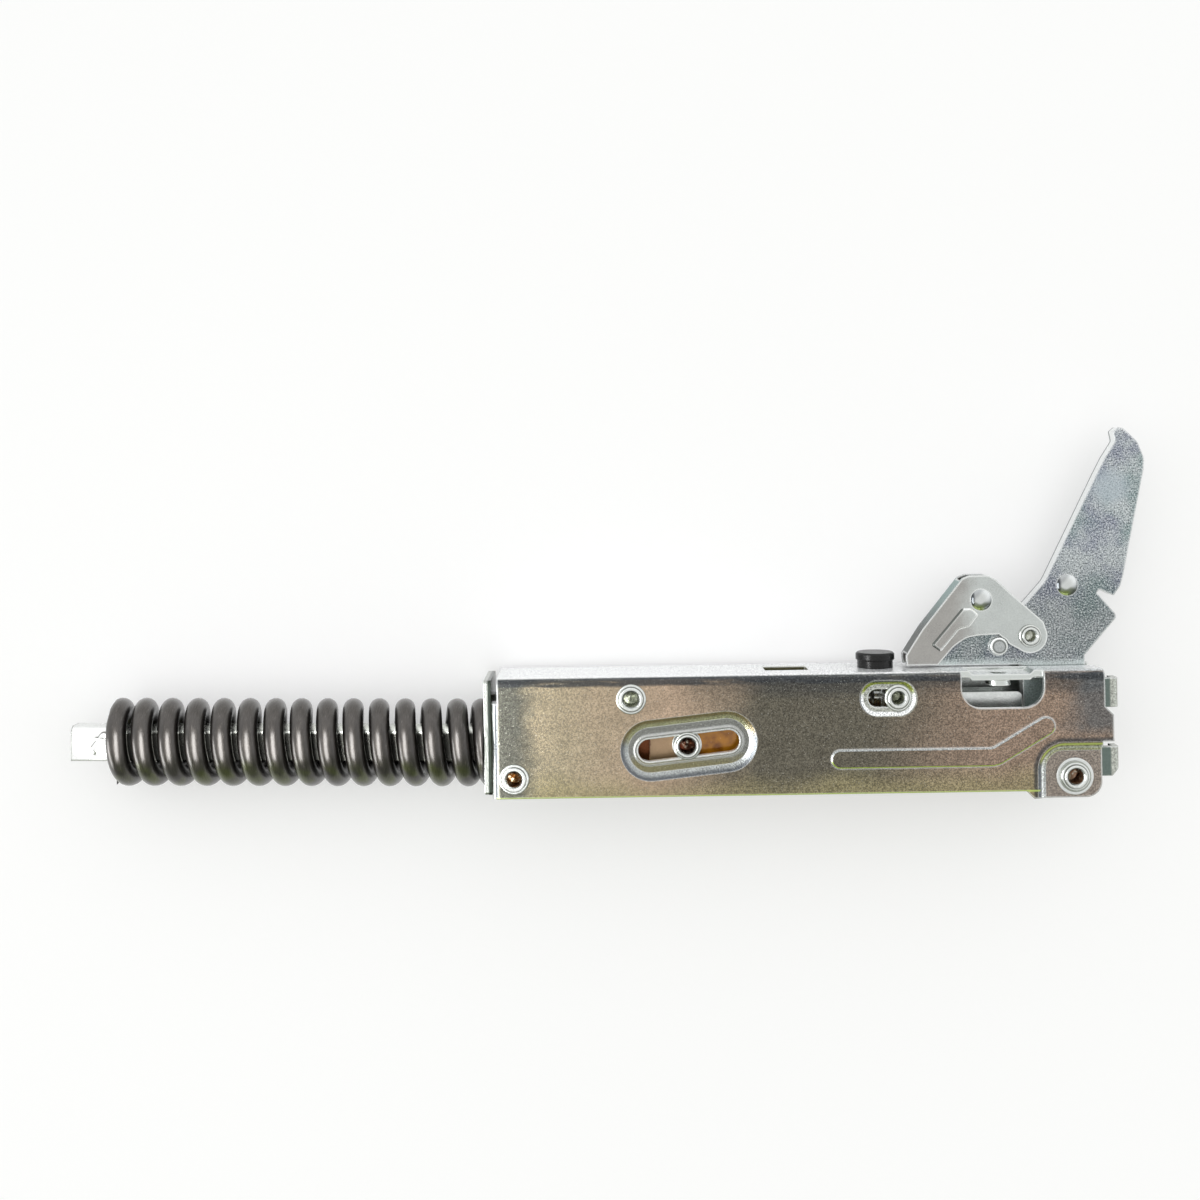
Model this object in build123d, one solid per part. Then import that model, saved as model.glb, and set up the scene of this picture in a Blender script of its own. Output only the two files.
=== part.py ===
from build123d import *
from math import atan2, cos, pi, radians, sin, sqrt, tan
import os

# An oven door hinge, lying on its side wall. The sheet steel channel runs along X and the claw arm
# stands out of it along Y. Z is the width between the two side walls. Every piece is drawn with Z = 0
# in the middle of the channel, X = 0 at its spring end and Y = 0 at the open edges of its walls, and
# the whole hinge is moved onto its own base at the end. All sizes are in millimetres.

# Driving sizes of the channel
SHEET = 1.5
CHANNEL_WIDTH = 22.0
CHANNEL_HEIGHT = 30.0
CHANNEL_LENGTH = 151.4
BEND_RADIUS = 2.0
END_FLANGE_REACH = 1.5
END_FLANGE_JOIN = 3.0
END_FLANGE_GAP = 6.3
END_MOUTH = 11.4
NOSE_REACH = 2.1
NOSE_LOW = 12.1
NOSE_HIGH = 18.7
CORNER_DROP = 1.9
CORNER_LENGTH = 17.3
CORNER_SETBACK = 0.7
CORNER_ROUND = 4.0

# Places measured back from the channel's front end, and down from its back
PIVOT_SETBACK = 7.7
PIVOT_Y = 3.5
RIVET_SETBACK = 51.5
PLUNGER_DEPTH = 6.35
BUMPER_OFFSET = 3.7
STOP_TAB_OFFSET = 21.2
SCREW_SETBACK = 25.4
ARM_SLOT_SETBACK = 21.1
RIB_SETBACK = 66.1
KNEE_SETBACK = 27.6
UPPER_TIE_DEPTH = 5.6
WINDOW_DEPTH = 9.2

# Slots, dishes and ribs of the walls
SLOT_MIDDLE = (47.65, 12.5)
SLIDE_ANGLE = 6.0
SLIDE_TRAVEL = 10.2
SLIDER_OFFSET = 0.35
SLOT_SPAN = 19.9
SLOT_HEIGHT = 5.5
SLOT_DISH_LENGTH = 34.2
SLOT_DISH_HEIGHT = 15.2
SLOT_DISH_DEPTH = 0.9
SLOT_LIP = 0.3
SLOT_LIP_WIDTH = 1.0
PLUNGER_TRAVEL = 5.0
PLUNGER_SLOT_HEIGHT = 4.5
PLUNGER_DISH_HEIGHT = 8.8
PLUNGER_DISH_DEPTH = 0.45
CORNER_DISH_DEPTH = 1.0
CORNER_DISH_RADIUS = 8.5
CORNER_DISH_REACH = 9.3
DISH_ANGLE = 65.0
RIB_ANGLE = 40.0
RIB_WIDTH = 4.65
RIB_HEIGHT = 0.4
RIB_Y = 8.65
RIB_RUN = 12.7
RIB_RISE = 7.5
END_TIE = (4.0, 4.9)
UPPER_TIE_X = 33.4

# Openings of the channel's back and of the near wall
WINDOW_LENGTH = 20.5
WINDOW_CORNER = 5.0
PAD_LENGTH = 14.5
PAD_DROP = 1.0
SCREW_HOLE_RADIUS = 2.1
SCREW_COLLAR_RADIUS = 3.1
SCREW_COLLAR_LENGTH = 1.5
ARM_SLOT_WIDTH = 5.4
STOP_TAB_LENGTH = 11.0
STOP_TAB_WIDTH = 7.0

# Clearances
RUNNING = 0.05
SEATED = 0.02
BESIDE = 0.3
LOOSE = 0.1

# Front brackets
BRACKET_REACH = 2.2
BRACKET_LENGTH = 17.1
BRACKET_NOTCH = 5.5
LOWER_TAB = (3.0, 10.3)
TAB_CORNER = 2.0
UPPER_TAB_HEIGHT = 7.3
UPPER_TAB_DEPTH = 9.8

# Arm: its edge is drawn in X and Y from the channel's back above the main pivot, with corner radii
ARM_THICKNESS = 4.0
CRANK_RADIUS = 9.1
CRANK_ANGLE = 75.0
HUB_RADIUS = 5.3
CRANK_EYE_RADIUS = 4.5
CAM_SETBACK = 10.2
SHANK_FRONT = 5.6
CLAW_EDGE = (
    (-33.5, 0.3, 0), (-33.5, 2.4, 1.2), (-24.3, 9.0, 0), (-9.4, 15.7, 4.0), (-4.2, 21.5, 8.0),
    (-1.7, 26.5, 0), (9.2, 48.3, 0), (11.4, 52.5, 4.0), (14.2, 56.8, 1.0), (13.7, 59.3, 0.5),
    (15.0, 60.4, 0.5), (16.2, 60.2, 0.6), (19.9, 56.6, 4.0), (21.5, 52.4, 3.0), (21.3, 49.4, 0),
    (18.3, 35.1, 0), (15.8, 22.9, 3.0), (14.9, 19.9, 0.8), (13.2, 17.5, 0.3), (9.6, 19.2, 0.3),
    (8.9, 18.3, 0.3), (14.1, 12.3, 1.2), (5.6, 2.5, 0),
)
ARM_DIMPLE = (1.4, 20.35)
DIMPLE_RADIUS = 2.7
DIMPLE_HEIGHT = 1.1

# Drag links
LINK_SHEET = 1.5
LINK_INSIDE = 8.6
LINK_EYE_RADIUS = 4.6
LINK_TAIL = 9.3
LINK_SLOT_LENGTH = 2.6
LINK_SLOT_PLAY = 0.35
LINK_SLOT_ANGLE = 124.0
LINK_SLOT_WALL = 1.2
CRANK_PIN_RADIUS = 3.0
CRANK_NECK_RADIUS = 2.0
CRANK_HEAD_RADIUS = 3.4
CRANK_HEAD = 0.8

# Lock lever: its edges are drawn in X and Y from its rivet, with corner radii
LEVER_SETBACK = 8.55
LEVER_RISE = 7.7
LEVER_SHEET = 1.0
LEVER_GAP = 0.15
LEVER_HEEL = 4.4
LEVER_EDGE = (
    (-31.4, -7.1, 0), (-31.6, -4.6, 0.6), (-30.1, -2.2, 3.0), (-27.2, 2.2, 12.0), (-17.0, 14.8, 1.2),
    (-15.2, 15.5, 1.5), (-10.4, 15.5, 1.5), (-8.5, 14.5, 2.0), (-5.4, 11.5, 5.0), (3.5, 3.5, 2.0),
    (4.4, 0, 0), (0, 0, 0), (-1.9, -3.9, 0), (-5.2, -2.1, 0), (-7.9, 0.5, 0), (-12.6, 0.3, 1.0),
    (-16.0, -0.2, 5.0), (-19.4, -2.4, 8.0), (-23.5, -7.1, 0),
)
LEVER_FOLD = (
    (-31.6, -4.1, 0), (-30.1, -2.2, 3.0), (-27.2, 2.2, 12.0), (-17.4, 14.3, 0), (-16.6, 13.7, 0),
    (-26.3, 1.7, 12.0), (-29.2, -2.7, 3.0), (-30.6, -4.5, 0),
)
LEVER_RIB = (
    (-25.3, -2.0, 0.5), (-16.5, 7.5, 0.6), (-15.1, 7.5, 0.6), (-13.4, 5.9, 0.5), (-15.6, 3.2, 0.6),
    (-17.4, 2.8, 0.6), (-23.0, -3.2, 0.5),
)
LEVER_RIB_HEIGHT = 0.4
LEVER_DIMPLE = (-12.3, 9.3)
STOP_PIN_OFFSET = (-7.9, -2.6)
STOP_PIN_RADIUS = 2.3

# Pull rod: the rod and its spring tilt away from the slot, rising towards the spring's far end
ROD_TILT = 1.0
ROD_SHEET = 1.4
ROD_WIDTH = 7.4
ROD_HEIGHT = 8.8
ROD_BEND = 1.8
ROD_EDGE_ROUND = 0.5
ROD_HOLE_RISE = 1.1
ROD_REACH = 10.5
ROD_TAIL = 5.2
EAR_LENGTH = 4.4
EAR_FLARE = 3.2
EAR_HEIGHT = 4.4

# Springs
SEAT_THICKNESS = 1.8
SEAT_LOW = 0.6
SEAT_GAP = 0.7
SEAT_WIDTH = 19.0
SPRING_OUTSIDE = 22.2
SPRING_WIRE = 5.25
SPRING_TURNS = 15
SPRING_LENGTH = 94.5
SPRING_CLOSED_PITCH = 5.75
SPRING_GROUND = 1.7
PLUNGER_SPRING_OUTSIDE = 6.4
PLUNGER_SPRING_WIRE = 0.9

# Plunger: its edge is drawn from its rivet to the arm's cam edge
PLUNGER_WIDTH = 8.0
PLUNGER_SHEET = 1.2
PLUNGER_BACK = 3.0
PLUNGER_STEM = 8.0
PLUNGER_STEM_RADIUS = 1.9
CAM_GAP = 0.8
NOSE_TOP = 0.15
NOSE_BOTTOM = 6.85

# Bumper
BUMPER_RADIUS = 4.9
BUMPER_HEIGHT = 3.9
BUMPER_WAIST = 2.1
BUMPER_STEM = 2.3
BUMPER_BARB = 1.3

# Rivets
RIVET_PROUD = 1.0
RIVET_BORE_DEPTH = 6.0
TIE_SHANK = 2.2
TIE_HEAD = 3.75
TIE_BORE = 1.9
TIE_SPACER_RADIUS = 2.7
SLIDER_SHANK = 2.7
SLIDER_HEAD = 3.4
SLIDER_BORE = 2.0
SLIDER_WASHER_RADIUS = 3.7
PLUNGER_SHANK = 2.15
PLUNGER_HEAD = 3.35
PLUNGER_BORE = 1.5
PLUNGER_SPACER_RADIUS = 3.0
PIVOT_SHANK = 2.75
PIVOT_HEAD = 3.9
PIVOT_BORE = 1.9
PIVOT_STEP = 0.3
PIVOT_WASHER = 0.7
PIVOT_WASHER_RADIUS = 4.6
BUSH_RADIUS = 3.5
BUSH_NECK_RADIUS = 3.0
LEVER_SHANK = 2.0
LEVER_HEAD = 2.9
LEVER_BORE = 1.3

# Places worked out from the sizes above
WALL_OUT = CHANNEL_WIDTH / 2
WALL_IN = WALL_OUT - SHEET
WEB_TOP = CHANNEL_HEIGHT
WEB_UNDER = WEB_TOP - SHEET
FRONT = CHANNEL_LENGTH + NOSE_REACH
MAIN_PIVOT = (CHANNEL_LENGTH - PIVOT_SETBACK, PIVOT_Y)
CRANK_PIN = (
    MAIN_PIVOT[0] - CRANK_RADIUS * sin(radians(CRANK_ANGLE)),
    MAIN_PIVOT[1] + CRANK_RADIUS * cos(radians(CRANK_ANGLE)),
)
SLIDER_START = (
    SLOT_MIDDLE[0] - SLIDER_OFFSET * cos(radians(SLIDE_ANGLE)),
    SLOT_MIDDLE[1] - SLIDER_OFFSET * sin(radians(SLIDE_ANGLE)),
)
UPPER_TIE = (UPPER_TIE_X, WEB_TOP - UPPER_TIE_DEPTH)
PLUNGER_RIVET = (CHANNEL_LENGTH - RIVET_SETBACK, WEB_TOP - PLUNGER_DEPTH)
BUMPER_X = PLUNGER_RIVET[0] - BUMPER_OFFSET
STOP_TAB_X = PLUNGER_RIVET[0] - STOP_TAB_OFFSET
SCREW_X = CHANNEL_LENGTH - SCREW_SETBACK
ARM_SLOT_START = CHANNEL_LENGTH - ARM_SLOT_SETBACK
LEVER_PIVOT = (MAIN_PIVOT[0] - LEVER_SETBACK, WEB_TOP + LEVER_RISE)
STOP_PIN = (LEVER_PIVOT[0] + STOP_PIN_OFFSET[0], LEVER_PIVOT[1] + STOP_PIN_OFFSET[1])
CAM_X = MAIN_PIVOT[0] - CAM_SETBACK
SEAT_RIGHT = -END_FLANGE_REACH - LOOSE
SEAT_LEFT = SEAT_RIGHT - SEAT_THICKNESS
ARM_FACE = ARM_THICKNESS / 2
LEVER_IN = ARM_FACE + LEVER_GAP
LEVER_OUT = LEVER_IN + LEVER_SHEET
ROD_SIDE = ROD_WIDTH / 2
PLUNGER_SIDE = PLUNGER_WIDTH / 2
LINK_IN = LINK_INSIDE / 2
LINK_OUT = LINK_IN + LINK_SHEET
PAD_IN = ARM_SLOT_WIDTH / 2 + BESIDE
PAD_OUT = WALL_IN
SCREW_Z = (PAD_IN + PAD_OUT) / 2
SLOT_FLOOR = WALL_OUT - SLOT_DISH_DEPTH
CORNER_FLOOR = WALL_OUT - CORNER_DISH_DEPTH
CORNER_INSIDE = WALL_IN - CORNER_DISH_DEPTH
BRACKET_IN = CORNER_INSIDE - SHEET
PIVOT_HEAD_SEAT = CORNER_FLOOR + PIVOT_WASHER
SPRING_RIGHT = SEAT_LEFT - BESIDE - SLIDER_START[0]
SPRING_LEFT = SPRING_RIGHT - SPRING_LENGTH
ROD_LEFT = SPRING_LEFT - ROD_REACH


# Small helpers

def slab(outline, z_low, z_high):
    """The outline as a plate between two heights."""
    return extrude(Pos(0, 0, z_low) * outline, z_high - z_low)


def both_sides(piece):
    """The piece and its mirror image across the middle of the channel."""
    return piece, mirror(piece, Plane.XY)


def together(*solids):
    """Several separate solids as one piece."""
    return Part() + list(solids)


def pair(piece):
    return together(*both_sides(piece))


def round_bar(place, radius, z_low, z_high):
    """A round bar across the channel."""
    return slab(Pos(*place) * Circle(radius), z_low, z_high)


def ring(place, outer, inner, z_low, z_high):
    """A washer or sleeve across the channel."""
    return slab(Pos(*place) * (Circle(outer) - Circle(inner)), z_low, z_high)


def oblong(middle, span, height, angle=0.0):
    """A slot outline: span is the distance between the centres of its two ends."""
    return Pos(*middle) * Rot(0, 0, angle) * SlotCenterToCenter(span, height)


def polygon(points):
    return make_face(Polyline(*points, close=True))


def profile(corners, origin=(0, 0)):
    """A closed outline through corners that each have an X, a Y and a radius."""
    points = [(origin[0] + x, origin[1] + y) for x, y, r in corners]
    return make_face(FilletPolyline(*points, radius=[r for x, y, r in corners], close=True))


def hull(*circles):
    """The outline of a belt laid round the given circles."""
    return make_hull([edge for circle in circles for edge in circle.edges()])


def turned(points):
    """A solid turned about Z from half of its section, and its mirror image below."""
    half = revolve(Plane.XZ * polygon(points), Axis.Z)
    return half + mirror(half, Plane.XY)


def pressed_in(wall, outline, depth):
    """Push a region of the near wall inwards, with sloping flanks and the sheet's own thickness."""
    hollow = extrude(Pos(0, 0, WALL_OUT) * outline, depth, dir=(0, 0, -1), taper=DISH_ANGLE)
    boss = extrude(Pos(0, 0, WALL_IN) * outline, depth, dir=(0, 0, -1), taper=DISH_ANGLE)
    return wall + boss - hollow


def pressed_out(wall, outline, height):
    """Push a region of the near wall outwards."""
    boss = extrude(Pos(0, 0, WALL_OUT) * outline, height, dir=(0, 0, 1), taper=RIB_ANGLE)
    hollow = extrude(Pos(0, 0, WALL_IN) * outline, height, dir=(0, 0, 1), taper=RIB_ANGLE)
    return wall + boss - hollow


# Channel

def folded(width, height, sheet, bend):
    """The section of a sheet folded into a channel, open at the bottom, with its top at height 0."""
    outer = Pos(-height / 2, 0) * Rectangle(height, width)
    outer = fillet(outer.vertices().group_by(Axis.X)[-1], bend)
    inner = Pos(-(height + sheet) / 2, 0) * Rectangle(height - sheet, width - 2 * sheet)
    inner = fillet(inner.vertices().group_by(Axis.X)[-1], max(bend - sheet, sheet / 4))
    return outer - inner


def wall_outline():
    """The side wall's own shape, with the relief at the spring end and the stepped nose."""
    corner_end = CHANNEL_LENGTH - CORNER_SETBACK
    corner_start = corner_end - CORNER_LENGTH
    flange_top = CHANNEL_HEIGHT - END_FLANGE_GAP
    return profile([
        (0, flange_top, 0), (0, CHANNEL_HEIGHT, 0), (CHANNEL_LENGTH, CHANNEL_HEIGHT, 0),
        (CHANNEL_LENGTH, NOSE_HIGH + NOSE_REACH, 0), (FRONT, NOSE_HIGH, 0), (FRONT, NOSE_LOW, 0),
        (corner_end, NOSE_LOW, 0), (corner_end, -CORNER_DROP, CORNER_ROUND),
        (corner_start, -CORNER_DROP, 0), (corner_start - CORNER_DROP, 0, 0),
        (END_FLANGE_JOIN, 0, 0), (END_FLANGE_JOIN, flange_top, 0)])


def end_flanges():
    """Both walls bent inwards at the spring end, leaving a mouth for the pull rod."""
    length = END_FLANGE_JOIN + END_FLANGE_REACH
    section = Rot(0, 0, 180) * folded(CHANNEL_WIDTH, length, SHEET, BEND_RADIUS)
    section = Pos(-END_FLANGE_REACH, 0) * section
    section -= Rectangle(4 * END_FLANGE_REACH, END_MOUTH)
    return extrude(Plane.XZ * section, CHANNEL_HEIGHT - END_FLANGE_GAP, dir=(0, 1, 0))


def rib_outline():
    """The long stiffening rib, level first and then rising towards the claw."""
    start = CHANNEL_LENGTH - RIB_SETBACK
    knee = CHANNEL_LENGTH - KNEE_SETBACK
    points = [(start, RIB_Y), (knee, RIB_Y), (knee + RIB_RUN, RIB_Y + RIB_RISE)]
    return make_face(offset(FilletPolyline(*points, radius=RIB_WIDTH), RIB_WIDTH / 2))


def corner_dish_outline():
    """The sunk corner that carries the main pivot, open at its right and lower edges."""
    left = MAIN_PIVOT[0] - CORNER_DISH_REACH
    top = MAIN_PIVOT[1] + CORNER_DISH_RADIUS
    margin = 2 * CORNER_DISH_DEPTH * tan(radians(DISH_ANGLE))
    right = FRONT + margin
    low = -CORNER_DROP - margin
    return profile([(left, top, 0.8 * CORNER_DISH_RADIUS), (left, low, 0), (right, low, 0), (right, top, 0)])


def plunger_slot():
    """Middle and centre distance of the slot that guides the plunger's rivet."""
    span = PLUNGER_TRAVEL + 2 * LOOSE
    return (PLUNGER_RIVET[0] - span / 2, PLUNGER_RIVET[1]), span


def pressed_wall(wall):
    """Every pressing that both side walls have, made on the near one."""
    dish_span = SLOT_DISH_LENGTH - SLOT_DISH_HEIGHT
    wall = pressed_in(wall, oblong(SLOT_MIDDLE, dish_span, SLOT_DISH_HEIGHT, SLIDE_ANGLE), SLOT_DISH_DEPTH)
    lip = oblong(SLOT_MIDDLE, SLOT_SPAN, SLOT_HEIGHT + 2 * SLOT_LIP_WIDTH, SLIDE_ANGLE)
    wall += slab(lip, SLOT_FLOOR - SHEET / 2, SLOT_FLOOR + SLOT_LIP)
    middle, span = plunger_slot()
    wall = pressed_in(wall, oblong(middle, span, PLUNGER_DISH_HEIGHT), PLUNGER_DISH_DEPTH)
    wall = pressed_in(wall, corner_dish_outline(), CORNER_DISH_DEPTH)
    return pressed_out(wall, rib_outline(), RIB_HEIGHT)


def cross_holes(body):
    """The slots and rivet holes that pass through both walls."""
    across = (-CHANNEL_WIDTH, CHANNEL_WIDTH)
    middle, span = plunger_slot()
    body -= slab(oblong(SLOT_MIDDLE, SLOT_SPAN, SLOT_HEIGHT, SLIDE_ANGLE), *across)
    body -= slab(oblong(middle, span, PLUNGER_SLOT_HEIGHT), *across)
    body -= round_bar(MAIN_PIVOT, PIVOT_SHANK + SEATED, *across)
    for place in (END_TIE, UPPER_TIE):
        body -= round_bar(place, TIE_SHANK + SEATED, *across)
    return body


def back_openings(body):
    """Slots and holes of the channel's back, and the tab that holds the plunger's spring."""
    reach = FRONT + NOSE_REACH - ARM_SLOT_START
    body -= Pos(ARM_SLOT_START + reach / 2, WEB_TOP, 0) * Box(reach, 4 * SHEET, ARM_SLOT_WIDTH)
    lance = Pos(STOP_TAB_X - STOP_TAB_LENGTH / 2, WEB_TOP, 0)
    body -= lance * Box(STOP_TAB_LENGTH, 4 * SHEET, STOP_TAB_WIDTH)
    tab_height = STOP_TAB_LENGTH - SHEET
    tab = Pos(STOP_TAB_X + SHEET / 2, WEB_UNDER - tab_height / 2, 0)
    body += tab * Box(SHEET, tab_height, STOP_TAB_WIDTH)
    hole = Pos(BUMPER_X, WEB_TOP, 0) * Rot(90, 0, 0) * Cylinder(BUMPER_STEM + RUNNING, 4 * SHEET)
    return body - hole


def joggle(half_length, top):
    """The flared outline, seen along Z, of a pad sunk from the given height."""
    middle = SCREW_X
    return polygon([
        (middle - half_length - PAD_DROP, top), (middle - half_length, top - PAD_DROP),
        (middle + half_length, top - PAD_DROP), (middle + half_length + PAD_DROP, top)])


def screw_window(body):
    """The window in the near wall and the sunk pad with its threaded collar above it."""
    height = WINDOW_DEPTH + SHEET
    window = Pos(SCREW_X, WEB_TOP - WINDOW_DEPTH + height / 2) * Rectangle(WINDOW_LENGTH, height)
    window = fillet(window.vertices().group_by(Axis.Y)[0], WINDOW_CORNER)
    body -= slab(window, PAD_OUT, CHANNEL_WIDTH)
    half = PAD_LENGTH / 2
    body += slab(joggle(half, WEB_UNDER), PAD_IN, PAD_OUT)
    body -= slab(joggle(half, WEB_TOP), PAD_IN, WALL_OUT)
    collar = SCREW_COLLAR_LENGTH + SHEET
    middle = Pos(SCREW_X, WEB_TOP - PAD_DROP - collar / 2, SCREW_Z) * Rot(90, 0, 0)
    body += middle * Cylinder(SCREW_COLLAR_RADIUS, collar)
    return body - middle * Cylinder(SCREW_HOLE_RADIUS, 2 * collar)


def housing():
    """The folded channel with all its pressings, slots and openings."""
    section = Pos(CHANNEL_HEIGHT, 0) * folded(CHANNEL_WIDTH, CHANNEL_HEIGHT + CORNER_DROP, SHEET, BEND_RADIUS)
    channel = extrude(Plane.YZ * section, FRONT)
    near_half = slab(wall_outline(), 0, CHANNEL_WIDTH)
    near = pressed_wall(channel & near_half) & near_half
    body = near + mirror(near, Plane.XY) + end_flanges()
    return screw_window(back_openings(cross_holes(body)))


# Front brackets inside the walls, whose tabs stand across the channel's front

def front_bracket():
    """The near bracket: a side plate on the sunk corner and a front flange cut into two tabs."""
    front = FRONT + BRACKET_REACH
    back = front - BRACKET_LENGTH
    reach = LEVER_OUT + LEVER_RIB_HEIGHT + BESIDE
    section = profile([
        (back, CORNER_INSIDE, 0), (front, CORNER_INSIDE, SHEET), (front, reach, 0), (front - SHEET, reach, 0),
        (front - SHEET, BRACKET_IN, 0), (back, BRACKET_IN, 0)])
    low = -CORNER_DROP / 2
    body = Pos(0, low, 0) * extrude(Plane.XZ * section, CHANNEL_HEIGHT, dir=(0, 1, 0))
    inset = front - BRACKET_NOTCH
    upper_low = WEB_TOP - UPPER_TAB_DEPTH
    upper_high = upper_low + UPPER_TAB_HEIGHT
    lower_low, lower_high = LOWER_TAB
    shelf = MAIN_PIVOT[1] + PIVOT_WASHER_RADIUS + SHEET
    outline = polygon([
        (back, low), (inset, low), (inset, lower_low), (front - TAB_CORNER, lower_low),
        (front, lower_low + TAB_CORNER), (front, lower_high), (inset, lower_high),
        (inset, upper_low), (front, upper_low), (front, upper_high), (MAIN_PIVOT[0] + SHEET, upper_high),
        (MAIN_PIVOT[0] + SHEET, shelf + SHEET), (back, shelf)])
    body &= slab(outline, 0, CHANNEL_WIDTH)
    return body - round_bar(MAIN_PIVOT, PIVOT_SHANK + SEATED, 0, WALL_OUT)


# Rivets

def rolled_head(seat, head, bore):
    """Half of a rolled head's section: a flange with a rounded rim, a groove and a raised collar."""
    flange = seat + 0.5 * RIVET_PROUD
    top = seat + RIVET_PROUD
    collar = bore + 0.6 * (head - bore)
    return [
        (head, seat), (head, flange - 0.2 * RIVET_PROUD), (head - 0.25 * RIVET_PROUD, flange),
        (collar + 0.1 * RIVET_PROUD, flange), (collar, flange - 0.1 * RIVET_PROUD),
        (collar, top - 0.2 * RIVET_PROUD), (collar - 0.2 * RIVET_PROUD, top),
        (bore + 0.4 * RIVET_PROUD, top), (bore, top - 0.5 * RIVET_PROUD)]


def hollow_rivet(place, shank, seat, head, bore):
    """A tubular rivet through both walls: seat is the face its rolled heads lie on."""
    floor = seat + RIVET_PROUD - RIVET_BORE_DEPTH
    points = [(0, 0), (shank, 0), (shank, seat), *rolled_head(seat, head, bore)]
    points += [(bore, floor), (0, floor - bore / 2)]
    return Pos(*place, 0) * turned(points)


def tie_rivets():
    return together(*[hollow_rivet(place, TIE_SHANK, WALL_OUT, TIE_HEAD, TIE_BORE) for place in (END_TIE, UPPER_TIE)])


def tie_spacers():
    """The sleeves that hold the two walls apart."""
    bore = TIE_SHANK + SEATED
    return together(*[ring(place, TIE_SPACER_RADIUS, bore, -WALL_IN, WALL_IN) for place in (END_TIE, UPPER_TIE)])


def main_pivot_rivet():
    """The pivot's rivet, whose heads stand on a round step."""
    seat = PIVOT_HEAD_SEAT + PIVOT_STEP
    step = ring(MAIN_PIVOT, PIVOT_HEAD, PIVOT_BORE, PIVOT_HEAD_SEAT, seat)
    rivet = hollow_rivet(MAIN_PIVOT, PIVOT_SHANK, seat, PIVOT_HEAD - PIVOT_STEP, PIVOT_BORE)
    for piece in both_sides(step):
        rivet += piece
    return rivet


def pivot_washers():
    return pair(ring(MAIN_PIVOT, PIVOT_WASHER_RADIUS, PIVOT_SHANK + SEATED, CORNER_FLOOR, PIVOT_HEAD_SEAT))


def pivot_bushes():
    """Sleeves between the arm and the brackets, necked where the drag links swing past."""
    bore = PIVOT_SHANK + SEATED
    start = ARM_FACE + LOOSE
    neck_low, neck_high = LINK_IN - LOOSE, LINK_OUT + LOOSE
    points = [
        (bore, start), (BUSH_RADIUS, start), (BUSH_RADIUS, neck_low), (BUSH_NECK_RADIUS, neck_low),
        (BUSH_NECK_RADIUS, neck_high), (BUSH_RADIUS, neck_high), (BUSH_RADIUS, BRACKET_IN), (bore, BRACKET_IN)]
    return pair(Pos(*MAIN_PIVOT, 0) * revolve(Plane.XZ * polygon(points), Axis.Z))


# Springs

def unit(v):
    return v * (1.0 / v.length)


def arc_through(start, corner, end):
    """The arc from start to end whose end tangents meet at the corner."""
    middle = (start + end) * 0.5
    half = (end - start).length / 2
    sagitta = half * tan(atan2((corner - middle).length, half) / 2)
    return ThreePointArc(start, middle + unit(corner - middle) * sagitta, end)


def biarc(start, start_way, end, end_way):
    """Two arcs between two points that follow the given directions there."""
    span = end - start
    ways = start_way + end_way
    a = ways.dot(ways) - 4
    b = -2 * span.dot(ways)
    reach = (-b - sqrt(b * b - 4 * a * span.dot(span))) / (2 * a)
    first = start + start_way * reach
    last = end - end_way * reach
    joint = (first + last) * 0.5
    return [arc_through(start, first, joint), arc_through(joint, last, end)]


def coil_point(turn):
    """A point of the main spring's centre line, from its first turn, in the rod's own frame."""
    radius = (SPRING_OUTSIDE - SPRING_WIRE) / 2
    start = SPRING_LEFT - SPRING_GROUND
    length = SPRING_LENGTH + 2 * SPRING_GROUND
    open_pitch = (length - 2 * SPRING_CLOSED_PITCH) / (SPRING_TURNS - 2)
    closed = SPRING_CLOSED_PITCH * (min(turn, 1) + max(turn - SPRING_TURNS + 1, 0))
    along = start + closed + open_pitch * min(max(turn - 1, 0), SPRING_TURNS - 2)
    angle = pi + 2 * pi * turn
    return Vector(along, radius * cos(angle) - ROD_HOLE_RISE, radius * sin(angle))


def coil_way(turn):
    step = 1e-5
    return unit(coil_point(turn + step) - coil_point(turn - step))


def print_least_gap():
    """Print the smallest distance between neighbouring turns, measured on points."""
    steps = 24
    spots = [coil_point(k / steps) for k in range(SPRING_TURNS * steps + 1)]
    least = min((b - a).length
                for i, a in enumerate(spots) for b in spots[i + steps // 2:i + 2 * steps])
    print(f"main spring: least gap between turns {least - SPRING_WIRE:.2f} mm")


def main_spring():
    """One unbroken tube with closed end turns, ground flat at both ends."""
    stations = [k / 2 for k in range(2 * SPRING_TURNS + 1)]
    arcs = []
    for first, last in zip(stations, stations[1:]):
        arcs += biarc(coil_point(first), coil_way(first), coil_point(last), coil_way(last))
    start = Plane(origin=coil_point(0), z_dir=coil_way(0))
    tube = sweep(start * Circle(SPRING_WIRE / 2), path=Wire(arcs))
    between = Pos((SPRING_LEFT + SPRING_RIGHT) / 2, 0, 0) * Box(
        SPRING_LENGTH, 2 * SPRING_OUTSIDE, 2 * SPRING_OUTSIDE)
    print_least_gap()
    return on_rod(tube & between)


def plunger_spring():
    """A plain sleeve in the space that the small spring fills."""
    left = STOP_TAB_X + SHEET + LOOSE
    right = PLUNGER_RIVET[0] - PLUNGER_BACK - LOOSE
    outer = PLUNGER_SPRING_OUTSIDE / 2
    sleeve = Plane.YZ * Pos(PLUNGER_RIVET[1], 0) * (Circle(outer) - Circle(outer - PLUNGER_SPRING_WIRE))
    return Pos(left, 0, 0) * extrude(sleeve, right - left)


# Spring seat and pull rod

def on_rod(piece):
    """Place a piece drawn along the rod, with its origin at the slider's rivet."""
    return Pos(*SLIDER_START, 0) * Rot(0, 0, -ROD_TILT) * piece


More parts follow.
